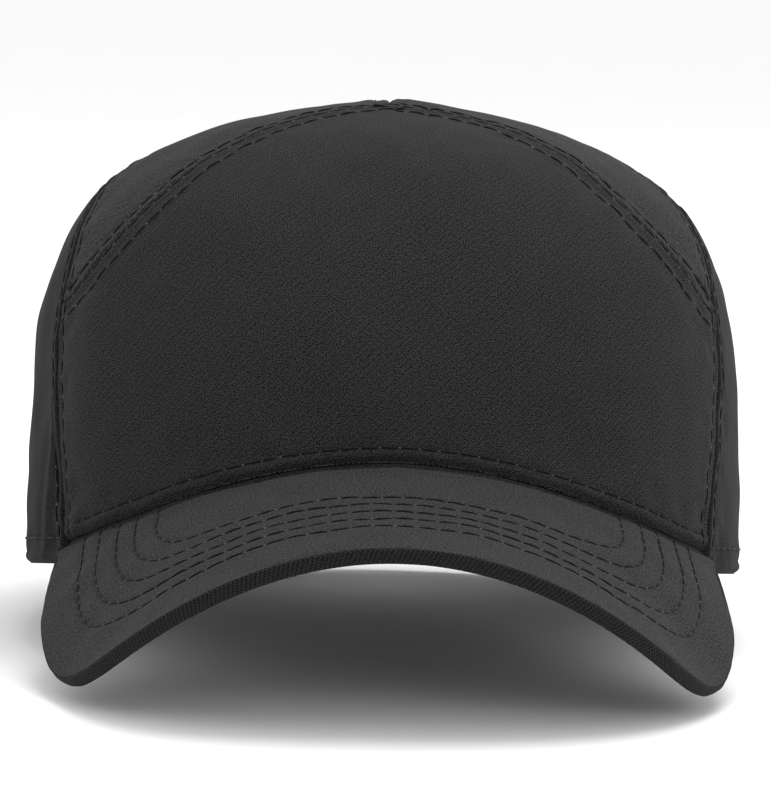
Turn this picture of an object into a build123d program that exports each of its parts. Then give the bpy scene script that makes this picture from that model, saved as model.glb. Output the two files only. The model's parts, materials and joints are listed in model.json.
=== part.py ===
from build123d import *
from math import cos, exp, pi, radians, sin
import os

# Seven-panel baseball cap, in millimetres. It is modelled in the cap frame: the rim plane is z = 0,
# the wearer faces -Y and +Z is up. stand() then tips it onto its visor corners and back rim.

# Crown
HALF_WIDTH = 84.0
FRONT_REACH = 98.0
BACK_REACH = 100.0
HEIGHT = 110.0
CREST_FORWARD = 10.0
PLAN_SQUARENESS = 2.35
PANEL = 1.0
BUTTON_Y = 12.5
BUTTON_Z = 106.6
BUTTON_TILT = -14.0

# Seams. Side seams are drawn in side view as (y, z), the arch seam in front view as (x, z).
SIDE_SEAM = [(-60, -10), (-60, 0), (-55, 20), (-41, 63), (-33.5, 77.5), (-22, 90), (-7, 98.5), (12.5, 106.5)]
ARCH_SEAM = [(0, 106.6), (20.5, 103), (37.5, 95.2), (52, 84), (59.5, 77), (66, 70), (73, 61)]
REAR_SEAM_X = 72.7
REAR_SEAM_Y = 50.0
TAPE_WIDTH = 14.0

# Visor
RIDGE_Z = 22.5
PITCH = 15.5
VISOR_DEPTH = 70.0
VISOR_HALF = 76.5
VISOR_ROOT = -44.0
COVER = 0.6
BOARD = 2.0
BOND = 0.05
HEM_LIFT = 1.1

# Sweatband, back opening, eyelets
BAND_HEIGHT = 31.0
OPENING_HALF = 45.0
OPENING_SHOULDER = 12.0
OPENING_TOP = 55.0
EYELET_R = 4.0
EYELET_HOLE = 2.2

# Strap and buckle, on arcs round a vertical axis through (0, ARC_Y)
ARC_Y = 25.0
STRAP_R = 73.0
STRAP_T = 1.2
STRAP_HALF_ANGLE = 52.0
STRAP_LOW = 2.0
STRAP_HIGH = 20.0
BUCKLE_ANGLE = 27.0
PIN_R = 0.7
PIN_BORE = 0.72
PIN_REACH = 74.6

# Standing pose
TILT = -8.0


def profile(h, taper, power, root):
    return (1 - taper * h) * max(1 - abs(h) ** power, 0) ** (1 / root)


def crown_point(angle, h, side=0.0, front=0.0, back=0.0, top=0.0):
    """Crown surface at a plan angle from the front, h from rim 0 to crest 1, moved in by the offsets."""
    half = (HALF_WIDTH - side) * profile(h, 0.033, 5.8, 1.68)
    ahead = cos(angle) > 0
    reach = (FRONT_REACH - front) * profile(h, 0.1, 5.0, 1.68)
    if not ahead:
        reach = (BACK_REACH - back) * profile(h, -0.12, 2.6, 1.68)
    power = 2 + (PLAN_SQUARENESS - 2) * (1 - h * h) if ahead else 2.0
    s = sin(angle)
    c = cos(angle)
    x = half * (1 if s > 0 else -1) * abs(s) ** (2 / power)
    y = -reach * (1 if c > 0 else -1) * abs(c) ** (2 / power)
    return (x, y - CREST_FORWARD * h ** 4, (HEIGHT - top) * h)


def crown_solid(side=0.0, front=0.0, back=0.0, top=0.0):
    """Solid under the crown surface moved in by the four offsets."""
    sections = []
    for h in (0, 0.2, 0.4, 0.57, 0.71, 0.82, 0.905, 0.96, 0.99):
        ring = [crown_point(2 * pi * (i + 0.5) / 22, h, side, front, back, top) for i in range(22)]
        sections.append(Wire([Edge.make_spline([Vector(*p) for p in ring], periodic=True)]))
    return Solid.make_loft(sections)


def shell(outer, inner):
    """Layer between two even offsets from the crown surface."""
    return crown_solid(outer, outer, outer, outer) - crown_solid(inner, inner, inner, inner)


def visor_radius(s):
    return 76.0 + 33.0 / (1 + exp((s - 14.0) / 14.0))


def visor_origin():
    return (0, crown_point(0, RIDGE_Z / HEIGHT)[1], RIDGE_Z)


def visor_plane(s, up=0.0):
    """Plane across the visor at distance s out from the crown, y axis along the visor's normal."""
    p = radians(PITCH)
    x, y, z = visor_origin()
    at = (x, y - s * cos(p) - up * sin(p), z - s * sin(p) + up * cos(p))
    return Plane(origin=at, x_dir=(1, 0, 0), z_dir=(0, cos(p), sin(p)))


def visor_log(lift, start=VISOR_ROOT, end=90.0):
    """Everything under the visor's top surface, raised by lift."""
    sections = []
    for s in (start, -16, 2, 14, 26, 42, 64, end):
        r = visor_radius(s)
        plane = visor_plane(s, -r)
        sections.append(Wire([Edge.make_circle(r + lift, plane)]))
    return Solid.make_loft(sections)


def visor_outline(inset, depth_below):
    """Plan outline of one visor layer, extruded along the visor's normal.

    Deeper layers are narrower, so that the edge stays square to the curved board.
    """
    half = (VISOR_HALF - inset) * (1 - depth_below / 84.0)
    depth = VISOR_DEPTH - inset
    pts = []
    for i in range(-12, 13):
        x = half * sin(i * pi / 24)
        pts.append((x, depth * max(1 - abs(x / half) ** 4, 0) ** (1 / 1.8)))
    p = radians(PITCH)
    plane = Plane(origin=visor_origin(), x_dir=(1, 0, 0), z_dir=(0, -sin(p), cos(p)))
    pts = [plane.from_local_coords(Vector(x, -s, -80)) for x, s in pts]
    root = [plane.from_local_coords(Vector(x, 60, -80)) for x in (half - 1, -half + 1)]
    edges = [Edge.make_spline(pts), Edge.make_line(pts[-1], root[0])]
    edges += [Edge.make_line(root[0], root[1]), Edge.make_line(root[1], pts[0])]
    return extrude(Face(Wire(edges)), amount=120, dir=(0, -sin(p), cos(p)))


def block(x0, x1, y0, y1, z0, z1):
    return Pos((x0 + x1) / 2, (y0 + y1) / 2, (z0 + z1) / 2) * Box(x1 - x0, y1 - y0, z1 - z0)


def side_view(points, thickness):
    """Extrude a closed (y, z) outline through the whole cap along X."""
    outline = Polyline(*[(0, y, z) for y, z in points], close=True)
    return extrude(Face(Wire(outline.edges())), amount=thickness, dir=(1, 0, 0), both=True)


def front_view(points, y0, y1):
    """Extrude a closed (x, z) outline along Y between y0 and y1."""
    outline = Polyline(*[(x, y0, z) for x, z in points], close=True)
    return extrude(Face(Wire(outline.edges())), amount=y1 - y0, dir=(0, 1, 0))


def smooth(points, count=24):
    """Evenly spaced points and unit tangents on a spline through the given points."""
    line = Edge.make_spline([Vector(u, v, 0) for u, v in points])
    out = []
    for i in range(count + 1):
        p = line.position_at(i / count)
        t = line.tangent_at(i / count)
        out.append((p.X, p.Y, t.X, t.Y))
    return out


def ribbon(points, half):
    """Closed outline of a ribbon along a smooth curve."""
    line = smooth(points)
    left = [(u - v2 * half, v + u2 * half) for u, v, u2, v2 in line]
    right = [(u + v2 * half, v - u2 * half) for u, v, u2, v2 in line]
    return left + right[::-1]


def ahead_of_side_seam():
    line = [(u, v) for u, v, a, b in smooth(SIDE_SEAM)]
    return side_view(line + [(12.5, 140), (-200, 140), (-200, -60), (-60, -60)], 100)


def under_arch():
    half = [(u, v) for u, v, a, b in smooth([(-73, 61)] + [(-x, z) for x, z in ARCH_SEAM[-2:0:-1]] + ARCH_SEAM)]
    return front_view([(-100, 61)] + half + [(100, 61), (100, -20), (-100, -20)], -150, -10)


def above_visor(solid):
    """Trim the front of a crown layer to its hem, just clear of the visor."""
    return solid - visor_log(HEM_LIFT)


def opening(grow=0.0):
    """Half-moon back opening, cut from behind."""
    half = OPENING_HALF + grow
    rise = OPENING_TOP - OPENING_SHOULDER + grow
    top = [(half * cos(i * pi / 24), OPENING_SHOULDER + rise * sin(i * pi / 24)) for i in range(25)]
    return front_view([(half, -5)] + top + [(-half, -5)], 55, 130)


def rear_side(sign):
    """Wedge behind the rear side seam on one side of the back seam."""
    far = 4.0
    x = REAR_SEAM_X * far * sign
    y = BUTTON_Y + (REAR_SEAM_Y - BUTTON_Y) * far
    outline = Polyline((0, BUTTON_Y, -5), (x, y, -5), (0, 400, -5), close=True)
    return extrude(Face(Wire(outline.edges())), amount=160, dir=(0, 0, 1))


def surface_plane(angle, z):
    """Plane on the crown surface at a plan angle and height, z axis outward."""
    h = z / HEIGHT
    p = Vector(*crown_point(angle, h))
    along = Vector(*crown_point(angle + 0.01, h)) - p
    up = Vector(*crown_point(angle, h + 0.01)) - p
    return Plane(origin=p, x_dir=along, z_dir=along.cross(up))


EYELETS = {
    "eyelet_side_left": (radians(102), 70.0),
    "eyelet_side_right": (radians(-102), 70.0),
    "eyelet_back_left": (radians(150), 77.0),
    "eyelet_back_right": (radians(-150), 77.0),
}


def on_eyelet(name, solid):
    return surface_plane(*EYELETS[name]).location * solid


def button_at(solid):
    return Pos(0, BUTTON_Y, BUTTON_Z) * Rot(BUTTON_TILT, 0, 0) * solid


def pierce(panel):
    """Cut the eyelet holes and the button's shank hole."""
    for name in EYELETS:
        panel = panel - on_eyelet(name, Cylinder(EYELET_R + 0.1, 12))
    return panel - button_at(Cylinder(1.7, 20))


def crown_panels():
    skin = shell(0, PANEL)
    front_part = skin & ahead_of_side_seam()
    rest = skin - ahead_of_side_seam()
    arch = under_arch()
    left = block(0, 150, -200, 200, -80, 200)
    top = front_part - arch
    wedges = {"left": rear_side(1), "right": rear_side(-1)}
    nodes = {"front_panel": above_visor(front_part & arch)}
    for side in ("left", "right"):
        half_top = top & left if side == "left" else top - left
        half_rest = rest & left if side == "left" else rest - left
        nodes["top_panel_" + side] = pierce(half_top)
        nodes["side_panel_" + side] = pierce(half_rest - wedges[side])
        nodes["back_panel_" + side] = pierce((half_rest & wedges[side]) - opening())
    return nodes


def tape_cutters():
    """Where each seam tape lies, in order, each clear of the ones before it."""
    half = TAPE_WIDTH / 2
    seam = SIDE_SEAM[2:]
    arch = [(-x, z) for x, z in ARCH_SEAM[::-1]] + ARCH_SEAM[1:]
    side_band = side_view(ribbon(seam, half), 100)
    arch_band = front_view(ribbon(arch, half), -150, -20)
    rear = {}
    for sign in (1, -1):
        turn = Location((0, BUTTON_Y, 0), (0, 0, sign * 27.3))
        x0 = 8 if sign > 0 else -120
        rear[sign] = turn * block(x0, x0 + 112, -half, half, 20, 140)
    return side_band, arch_band, rear


def seam_tapes():
    layer = (shell(1.7, 2.2) & block(-150, 150, -200, 200, 34, 140)) - button_at(Cylinder(9, 20))
    side_band, arch_band, rear = tape_cutters()
    left = block(0, 150, -200, 200, -80, 200)
    side = (layer & side_band) - block(-8, 8, -200, 200, 0, 140)
    arch = (layer & arch_band & ahead_of_side_seam()) - side_band - block(-100, 100, -30, 0, 0, 140)
    centre = (layer & block(-7, 7, -30, 12, 90, 140)) - side
    nodes = {"tape_side_left": side & left, "tape_side_right": side - left, "tape_arch": arch}
    nodes["tape_centre"] = centre
    nodes["tape_rear_left"] = (layer & rear[1]) - side_band
    nodes["tape_rear_right"] = (layer & rear[-1]) - side_band
    back = layer & block(-7, 7, 24, 140, OPENING_TOP + 7, 140)
    nodes["tape_back"] = back - rear[1] - rear[-1]
    edge = shell(PANEL + 0.05, 1.5) & (opening(6) - opening())
    nodes["tape_opening"] = edge & block(-100, 100, 0, 150, STRAP_HIGH + 2, 100)
    return nodes


def stiffener():
    """Buckram behind the front panel, kept back from its seams."""
    sheet = shell(PANEL + 0.05, 1.65) & under_arch() & ahead_of_side_seam()
    return above_visor(sheet - side_view(ribbon(SIDE_SEAM, 3), 100))


def sweatband():
    outer = crown_solid(4.6, 2.4, 5.2, 3)
    band = outer - crown_solid(6.0, 3.8, 6.6, 5)
    upper = block(-150, 150, -200, 200, BAND_HEIGHT, 200) - Pos(0, 0, BAND_HEIGHT) * visor_log(HEM_LIFT)
    gap = block(-OPENING_HALF - 1, OPENING_HALF + 1, 40, 150, -10, 200)
    return above_visor(band) - upper - gap


def visor_layer(upper, thickness, inset):
    """One layer of the visor, its top surface at a depth below the visor's own."""
    inner = crown_solid(2.3, 2.3, 2.3, 2.3)
    plan = visor_outline(inset, upper + thickness / 2) & ahead_of_side_seam()
    plate = (plan & visor_log(-upper)) - visor_log(-upper - thickness)
    return plate - inner - Pos(0, 0, -6) * inner


def visor_layers():
    board = COVER + BOND
    under = board + BOARD + BOND
    return {
        "visor_top_cover": visor_layer(0, COVER, 0),
        "visor_board": visor_layer(board, BOARD, 1.2),
        "visor_under_cover": visor_layer(under, COVER, 0),
    }


def button():
    dome = Pos(0, 0, 0.4) * Cylinder(7.5, 6.4)
    dome = fillet(dome.edges().sort_by(Axis.Z)[-1], 3.0)
    cover = button_at(dome) - crown_solid() - button_at(Cylinder(1.7, 8))
    disc = button_at(Cylinder(6.0, 8)) & (crown_solid(1.2, 1.2, 1.2, 1.2) - crown_solid(2.6, 2.6, 2.6, 2.6))
    shank = button_at(Cylinder(1.5, 5.0))
    return {"button_cover": cover, "button_backing": disc + shank}


def eyelets():
    ring = Pos(0, 0, -0.4) * (Cylinder(EYELET_R, 2.4) - Cylinder(EYELET_HOLE, 3))
    return {name: on_eyelet(name, ring) for name in EYELETS}


def arc_shell(r0, r1, a0, a1, z0, z1):
    """Part of a ring round the strap's axis. Angles run from straight back towards +X."""
    outline = []
    for r, angles in ((r1, (a0, a1)), (r0, (a1, a0))):
        mid = (angles[0] + angles[1]) / 2
        pts = [(r * sin(radians(a)), ARC_Y + r * cos(radians(a)), z0) for a in (angles[0], mid, angles[1])]
        outline.append(pts)
    outer, inner = outline
    edges = [Edge.make_three_point_arc(*outer), Edge.make_line(outer[2], inner[0])]
    edges += [Edge.make_three_point_arc(*inner), Edge.make_line(inner[2], outer[0])]
    return extrude(Face(Wire(edges)), amount=z1 - z0, dir=(0, 0, 1))


def rod(angle, reach, radius, z0, z1):
    a = radians(angle)
    at = Pos(reach * sin(a), ARC_Y + reach * cos(a), (z0 + z1) / 2)
    return at * Cylinder(radius, z1 - z0)


def closure():
    mid = (STRAP_LOW + STRAP_HIGH) / 2
    hinge = -BUCKLE_ANGLE + 6.0
    bar = -BUCKLE_ANGLE - 7.5
    low = mid - 10.3
    high = mid + 10.3
    strap_in = STRAP_R - STRAP_T
    half = STRAP_HALF_ANGLE
    strap = arc_shell(strap_in, STRAP_R, -half, half, STRAP_LOW, STRAP_HIGH)
    plate = arc_shell(strap_in - 1.1, strap_in - 0.3, bar + 1, hinge + 1.5, low, high)
    frame = plate
    for z0 in (low, high - 0.8):
        frame += arc_shell(strap_in - 1.1, 75.8, bar - 0.7, hinge + 1.5, z0, z0 + 0.8)
    frame += rod(bar, 75.0, 0.8, low, high)
    frame -= rod(hinge, PIN_REACH, PIN_BORE, low - 1, high + 1)
    lever = arc_shell(75.4, 76.2, bar + 2.2, hinge - 0.4, mid - 9.2, mid + 9.2)
    lever += rod(hinge, PIN_REACH, 1.25, mid - 9.2, mid + 9.2)
    lever -= rod(hinge, PIN_REACH, PIN_BORE, low - 1, high + 1)
    pin = rod(hinge, PIN_REACH, PIN_R, low - 0.2, high + 0.2)
    loop = rod(bar, 75.0, 1.45, mid - 8, mid + 8) - rod(bar, 75.0, 0.85, low, high)
    tab = arc_shell(75.7, 76.4, bar - 18, bar - 0.4, mid - 8, mid + 8) - crown_solid()
    loop += tab - rod(bar, 75.0, 0.85, low, high)
    return {"closure_strap": strap, "buckle_frame": frame, "buckle_lever": lever,
            "buckle_pin": pin, "buckle_loop": loop}


def assemble():
    nodes = crown_panels()
    nodes["front_stiffener"] = stiffener()
    nodes.update(seam_tapes())
    nodes["sweatband"] = sweatband()
    nodes.update(visor_layers())
    nodes.update(button())
    nodes.update(eyelets())
    nodes.update(closure())
    return nodes


def stand(nodes):
    """Tip the cap onto its visor corners and back rim, centred over the origin."""
    tipped = {name: Rot(TILT, 0, 0) * shape for name, shape in nodes.items()}
    boxes = [shape.bounding_box() for shape in tipped.values()]
    front = min(box.min.Y for box in boxes)
    back = max(box.max.Y for box in boxes)
    shift = Pos(0, -(front + back) / 2, -min(box.min.Z for box in boxes))
    print("rim centre in the row frame:", shift.position)
    return {name: shift * shape for name, shape in tipped.items()}


def main():
    os.makedirs("parts", exist_ok=True)
    for name, shape in stand(assemble()).items():
        export_step(shape, "parts/" + name + ".step")
        print(name, round(shape.volume, 1), len(shape.solids()))


main()
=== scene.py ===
# %% [markdown]
# # A seven-panel cap with a curved visor
#
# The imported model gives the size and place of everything. Each sewn part of the cap is then
# rebuilt here with the look of cloth, thread and metal. All shapes are worked out in millimetres
# in the cap's own frame: the rim lies in z = 0, the wearer looks along -Y, and +Z is up.
# `to_row` turns those points into the shared frame, in metres.

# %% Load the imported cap
import json
import math
import bmesh
import bpy
import numpy as np
from mathutils import Matrix, Vector


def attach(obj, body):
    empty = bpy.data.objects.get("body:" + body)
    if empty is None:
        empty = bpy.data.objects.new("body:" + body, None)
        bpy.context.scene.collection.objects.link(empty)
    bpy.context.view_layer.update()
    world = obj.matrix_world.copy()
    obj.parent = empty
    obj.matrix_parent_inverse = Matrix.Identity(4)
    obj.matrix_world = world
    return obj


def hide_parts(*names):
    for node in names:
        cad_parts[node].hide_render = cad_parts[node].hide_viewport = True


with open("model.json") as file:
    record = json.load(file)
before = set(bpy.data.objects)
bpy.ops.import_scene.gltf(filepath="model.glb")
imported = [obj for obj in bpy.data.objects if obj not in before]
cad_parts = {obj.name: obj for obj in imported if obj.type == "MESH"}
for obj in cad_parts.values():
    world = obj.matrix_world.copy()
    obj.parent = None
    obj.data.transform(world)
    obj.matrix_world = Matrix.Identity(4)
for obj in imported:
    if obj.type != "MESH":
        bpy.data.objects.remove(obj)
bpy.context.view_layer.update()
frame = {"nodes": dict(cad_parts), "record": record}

rim_mount = next(m for m in frame["record"]["mounts"] if m["name"] == "head_opening")
RIM = np.array(rim_mount["pos_m"])
UP = -np.array(rim_mount["axis"])
SIDE = np.array([1.0, 0.0, 0.0])
BACK = np.cross(UP, SIDE)
CAP_AXES = np.array([SIDE, BACK, UP])


def to_row(points):
    return RIM + np.asarray(points, float) @ CAP_AXES * 0.001


print("cap tilt", round(math.degrees(math.asin(UP[1])), 2), "degrees")

# %% [markdown]
# ## The crown as one surface
#
# A cap's crown is a set of flat panels that sewing pulls into a dome. The dome can be drawn by
# hand, lofted, or written as a rule. A rule is used here because every seam, tape and stitch
# row can then be placed exactly on the same surface. Each level of the dome is an oval: a
# squarer oval in front, where the wide panel is stiffened, and a plain ellipse behind.

# %% The crown rule
HALF_WIDTH, FRONT_REACH, BACK_REACH, HEIGHT = 84.0, 98.0, 100.0, 110.0
CREST_FORWARD = 10.0


def profile(h, taper, power, root):
    return (1 - taper * h) * np.clip(1 - np.abs(h) ** power, 0, None) ** (1 / root)


def crown_at(angle, h, inset=(0, 0, 0, 0)):
    """Point at a plan angle (0 in front, positive to +X) and height share h, moved in by insets."""
    side, front, back, top = inset
    half = (HALF_WIDTH - side) * profile(h, 0.033, 5.8, 1.68)
    ahead = np.cos(angle) > 0
    reach = np.where(ahead, (FRONT_REACH - front) * profile(h, 0.1, 5.0, 1.68),
                     (BACK_REACH - back) * profile(h, -0.12, 2.6, 1.68))
    power = np.where(ahead, 2 + 0.35 * (1 - h * h), 2.0)
    s, c = np.sin(angle), np.cos(angle)
    x = half * np.sign(s) * np.abs(s) ** (2 / power)
    y = -reach * np.sign(c) * np.abs(c) ** (2 / power) - CREST_FORWARD * h ** 4
    return np.stack([x, y, (HEIGHT - top) * h], -1)


# %% Flat map of the crown: distance from the crest along the cloth, by plan angle
_h = 1 - np.linspace(0, 1, 4001) ** 2.2
_reach = 88.0 * profile(_h, 0.03, 5.0, 1.68)
_run = np.concatenate([[0], np.cumsum(np.hypot(np.diff(_reach), np.diff(HEIGHT * _h)))])
RUN = _run[-1]


def height_at(r):
    """Height share at a share r of the way from the crest to the rim, along the cloth."""
    return np.interp(r * RUN, _run, _h)


def run_at(h):
    return np.interp(1 - h, 1 - _h, _run) / RUN


def on_crown(flat, inset=(0, 0, 0, 0)):
    """Flat map (p, q) to a point on the crown."""
    p, q = flat[..., 0], flat[..., 1]
    return crown_at(np.arctan2(p, -q), height_at(np.hypot(p, q)), inset)


def to_flat(angle, h):
    r = run_at(h)
    return np.stack([r * np.sin(angle), -r * np.cos(angle)], -1)


def slopes(flat, step=1e-3):
    """The two surface directions, in mm for one unit of the flat map, and the outward normal."""
    dp = (on_crown(flat + [step, 0]) - on_crown(flat - [step, 0])) / (2 * step)
    dq = (on_crown(flat + [0, step]) - on_crown(flat - [0, step])) / (2 * step)
    n = np.cross(dp, dq)
    return dp, dq, n / np.linalg.norm(n, axis=-1, keepdims=True)


def beside(flat_line, offset):
    """The line moved sideways over the cloth by offset mm, to the left of its direction."""
    dp, dq, n = slopes(flat_line)
    along = np.gradient(on_crown(flat_line), axis=0)
    along /= np.linalg.norm(along, axis=1, keepdims=True) + 1e-12
    across = np.cross(n, along)
    a, b, c = (dp * dp).sum(1), (dp * dq).sum(1), (dq * dq).sum(1)
    u, v = (dp * across).sum(1), (dq * across).sum(1)
    det = a * c - b * b
    move = np.stack([(c * u - b * v) / det, (a * v - b * u) / det], -1)
    return flat_line + move * offset


print("crown run from crest to rim", round(RUN, 1), "mm")

# %% [markdown]
# ## Where the seams run
#
# Seven panels need eight seams: two side seams from the rim to the button, the arch seam over
# the front panel, the short centre seam on top, two rear side seams and the back seam. They
# were given in the views that show them best, the side seam in side view and the arch seam in
# front view, and each is carried onto the flat map.

# %% Seam lines
BUTTON = (0.0, 12.5, 106.6)


def smooth_line(points, count=400):
    """Natural-looking curve through a few points: centripetal Catmull-Rom, evenly spaced."""
    p = np.asarray(points, float)
    p = np.vstack([2 * p[0] - p[1], p, 2 * p[-1] - p[-2]])
    out = []
    for i in range(1, len(p) - 2):
        k = np.cumsum([0] + [np.linalg.norm(p[i + j] - p[i + j - 1]) ** 0.5 for j in (0, 1, 2)])
        t = np.linspace(k[1], k[2], 60, endpoint=i == len(p) - 3)[:, None]
        a = [(k[j + 1] - t) / (k[j + 1] - k[j]) * p[i - 1 + j] + (t - k[j]) / (k[j + 1] - k[j]) * p[i + j]
             for j in range(3)]
        b = [(k[j + 2] - t) / (k[j + 2] - k[j]) * a[j] + (t - k[j]) / (k[j + 2] - k[j]) * a[j + 1]
             for j in range(2)]
        out.append((k[2] - t) / (k[2] - k[1]) * b[0] + (t - k[1]) / (k[2] - k[1]) * b[1])
    return evenly(np.vstack(out), count)


def lengths(line):
    """How far along a line each of its points lies."""
    return np.concatenate([[0], np.cumsum(np.linalg.norm(np.diff(line, axis=0), axis=1))])


def evenly(line, count, measure=None):
    """The line resampled to count points, evenly spaced by its own or another line's length."""
    d = lengths(line if measure is None else measure)
    t = np.linspace(0, d[-1], count)
    return np.stack([np.interp(t, d, line[:, i]) for i in range(line.shape[1])], -1)


def on_side_view(y, z):
    """Flat-map points, on the +X side, that show at (y, z) in side view."""
    h = np.clip(z / HEIGHT, 0, 0.9999)
    rel = y + CREST_FORWARD * h ** 4
    reach = np.where(rel < 0, FRONT_REACH * profile(h, 0.1, 5.0, 1.68), BACK_REACH * profile(h, -0.12, 2.6, 1.68))
    power = np.where(rel < 0, 2 + 0.35 * (1 - h * h), 2.0)
    c = -np.sign(rel) * np.clip(np.abs(rel) / reach, 0, 1) ** (power / 2)
    return to_flat(np.arccos(np.clip(c, -1, 1)), h)


def on_front_view(x, z, behind=False):
    h = np.clip(z / HEIGHT, 0, 0.9999)
    power = 2.0 if behind else 2 + 0.35 * (1 - h * h)
    half = HALF_WIDTH * profile(h, 0.033, 5.8, 1.68)
    a = np.arcsin(np.sign(x) * np.clip(np.abs(x) / half, 0, 1) ** (power / 2))
    return to_flat(np.pi - a if behind else a, h)


side_view = smooth_line([(-57.7, 0), (-52.3, 20), (-39, 63), (-32, 77.5), (-21, 90), (-6.5, 98.5), (12.5, 106.5)])
side_seam = on_side_view(side_view[:, 0], side_view[:, 1])
button_flat = np.array([0.0, on_side_view(np.array([12.5]), np.array([BUTTON[2] + 0.4]))[0, 1]])
side_seam = side_seam[side_seam[:, 0] > 0.004]
side_seam = evenly(np.vstack([side_seam, button_flat]), 500)


def halved(low, high, too_high):
    """The place between low and high where too_high(place) turns false, by halving the span."""
    for _ in range(40):
        mid = (low + high) / 2
        over = too_high(mid)
        low, high = np.where(over, low, mid), np.where(over, mid, high)
    return mid


def plane_seam(x_far, y_far):
    """Flat-map line where the upright plane from the button to (x_far, y_far) meets the crown."""
    h = np.concatenate([np.linspace(0, 0.9, 60), np.linspace(0.905, 0.973, 30)])

    def behind(angle):
        p = crown_at(angle, h)
        return (p[:, 0] * (y_far - BUTTON[1]) - (p[:, 1] - BUTTON[1]) * x_far) <= 0

    angle = halved(np.full_like(h, np.pi * 0.5), np.full_like(h, np.pi), behind)
    return evenly(np.vstack([to_flat(angle, h), button_flat]), 500)


rear_seam = plane_seam(72.7, 50.0)
arch_half = smooth_line([(0, 106.6), (20.5, 103), (37.5, 95.2), (52, 84), (59.5, 77), (66, 70), (73.4, 61)])
arch_seam = on_front_view(arch_half[:, 0], arch_half[:, 1])
print("side seam at the rim", on_crown(side_seam[:1]).round(1), "arch centre", on_crown(arch_seam[:1]).round(1))

# %% [markdown]
# ## Studio and camera
#
# Black cloth needs a bright, even room: one big soft lamp above and a little to the right makes
# the top of the crown lighter than its front, and a white world fills the rest; the top panels'
# cloth is also painted lighter than the front's, as painted light from above. The floor is a
# wide pale disc whose edge fades into that world, so no corner shows behind the cap.

# %% Camera at the cap's own rim height
EYE_DISTANCE, YAW, ROLL, LENS = 1300.0, math.radians(-1.1), math.radians(0.9), 246.3
aim = np.array([0.29, 0.0, 40.0])
eye = np.array([0.29 + EYE_DISTANCE * math.sin(YAW), -EYE_DISTANCE * math.cos(YAW), 0.0])
looking = aim - eye
looking /= np.linalg.norm(looking)
right = np.cross(looking, [0, 0, 1])
right /= np.linalg.norm(right)
over = np.cross(right, looking)
cam_x = math.cos(ROLL) * right + math.sin(ROLL) * over
cam_y = math.cos(ROLL) * over - math.sin(ROLL) * right
camera = bpy.data.objects.new("camera", bpy.data.cameras.new("camera"))
bpy.context.collection.objects.link(camera)
camera_place = np.eye(4)
camera_place[:3, :3] = (np.array([cam_x, cam_y, -looking]) @ CAP_AXES).T
camera_place[:3, 3] = to_row(eye)
camera.matrix_world = Matrix(camera_place.tolist())
camera.data.lens = LENS
camera.data.sensor_width = 36.0
camera.data.clip_end = 50.0
bpy.context.scene.camera = camera
bpy.context.scene.view_settings.view_transform = "Standard"
print("camera at", to_row(eye).round(3), "m")

# %% Lamps, world and floor
def lamp(name, place, target, size, power):
    data = bpy.data.lights.new(name, "AREA")
    data.shape, data.size, data.energy = "DISK", size, power
    lamp_object = bpy.data.objects.new(name, data)
    lamp_object.location = place
    lamp_object.rotation_euler = (Vector(target) - Vector(place)).to_track_quat("-Z", "Y").to_euler()
    bpy.context.collection.objects.link(lamp_object)


lamp("top_softbox", (0.3, 0.1, 1.3), (0, 0, 0.05), 0.9, 9.0)
lamp("front_softbox", (0.9, -1.3, 0.5), (0, 0, 0.05), 0.7, 5.0)
world = bpy.data.worlds.new("studio")
world.use_nodes = True
world.node_tree.nodes["Background"].inputs["Color"].default_value = (1, 1, 1, 1)
world.node_tree.nodes["Background"].inputs["Strength"].default_value = 1.0
bpy.context.scene.world = world

# %% [markdown]
# ## Shader maths as plain expressions
#
# Cloth is made from waves and noise, which takes dozens of Math nodes. A small class wraps a
# socket so that `0.5 + 0.5 * wave` adds those nodes by itself, and one `node` method makes
# every other kind of node.

# %% Wrapped sockets
class Flow:
    def __init__(self, finish, socket):
        self.finish, self.socket = finish, socket

    def _math(self, operation, *values):
        return self.finish.node("ShaderNodeMath", {"operation": operation}, dict(enumerate(values)))["Value"]

    def __add__(self, other):
        return self._math("ADD", self, other)

    def __radd__(self, other):
        return self._math("ADD", other, self)

    def __sub__(self, other):
        return self._math("SUBTRACT", self, other)

    def __rsub__(self, other):
        return self._math("SUBTRACT", other, self)

    def __mul__(self, other):
        return self._math("MULTIPLY", self, other)

    def __rmul__(self, other):
        return self._math("MULTIPLY", other, self)

    def sine(self):
        return self._math("SINE", self)

    def absolute(self):
        return self._math("ABSOLUTE", self)

    def between(self, low, high):
        """0 below low, 1 above high, smooth between."""
        return self.finish.node("ShaderNodeMapRange", {"interpolation_type": "SMOOTHSTEP"},
                                {"Value": self, "From Min": low, "From Max": high})["Result"]


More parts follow.
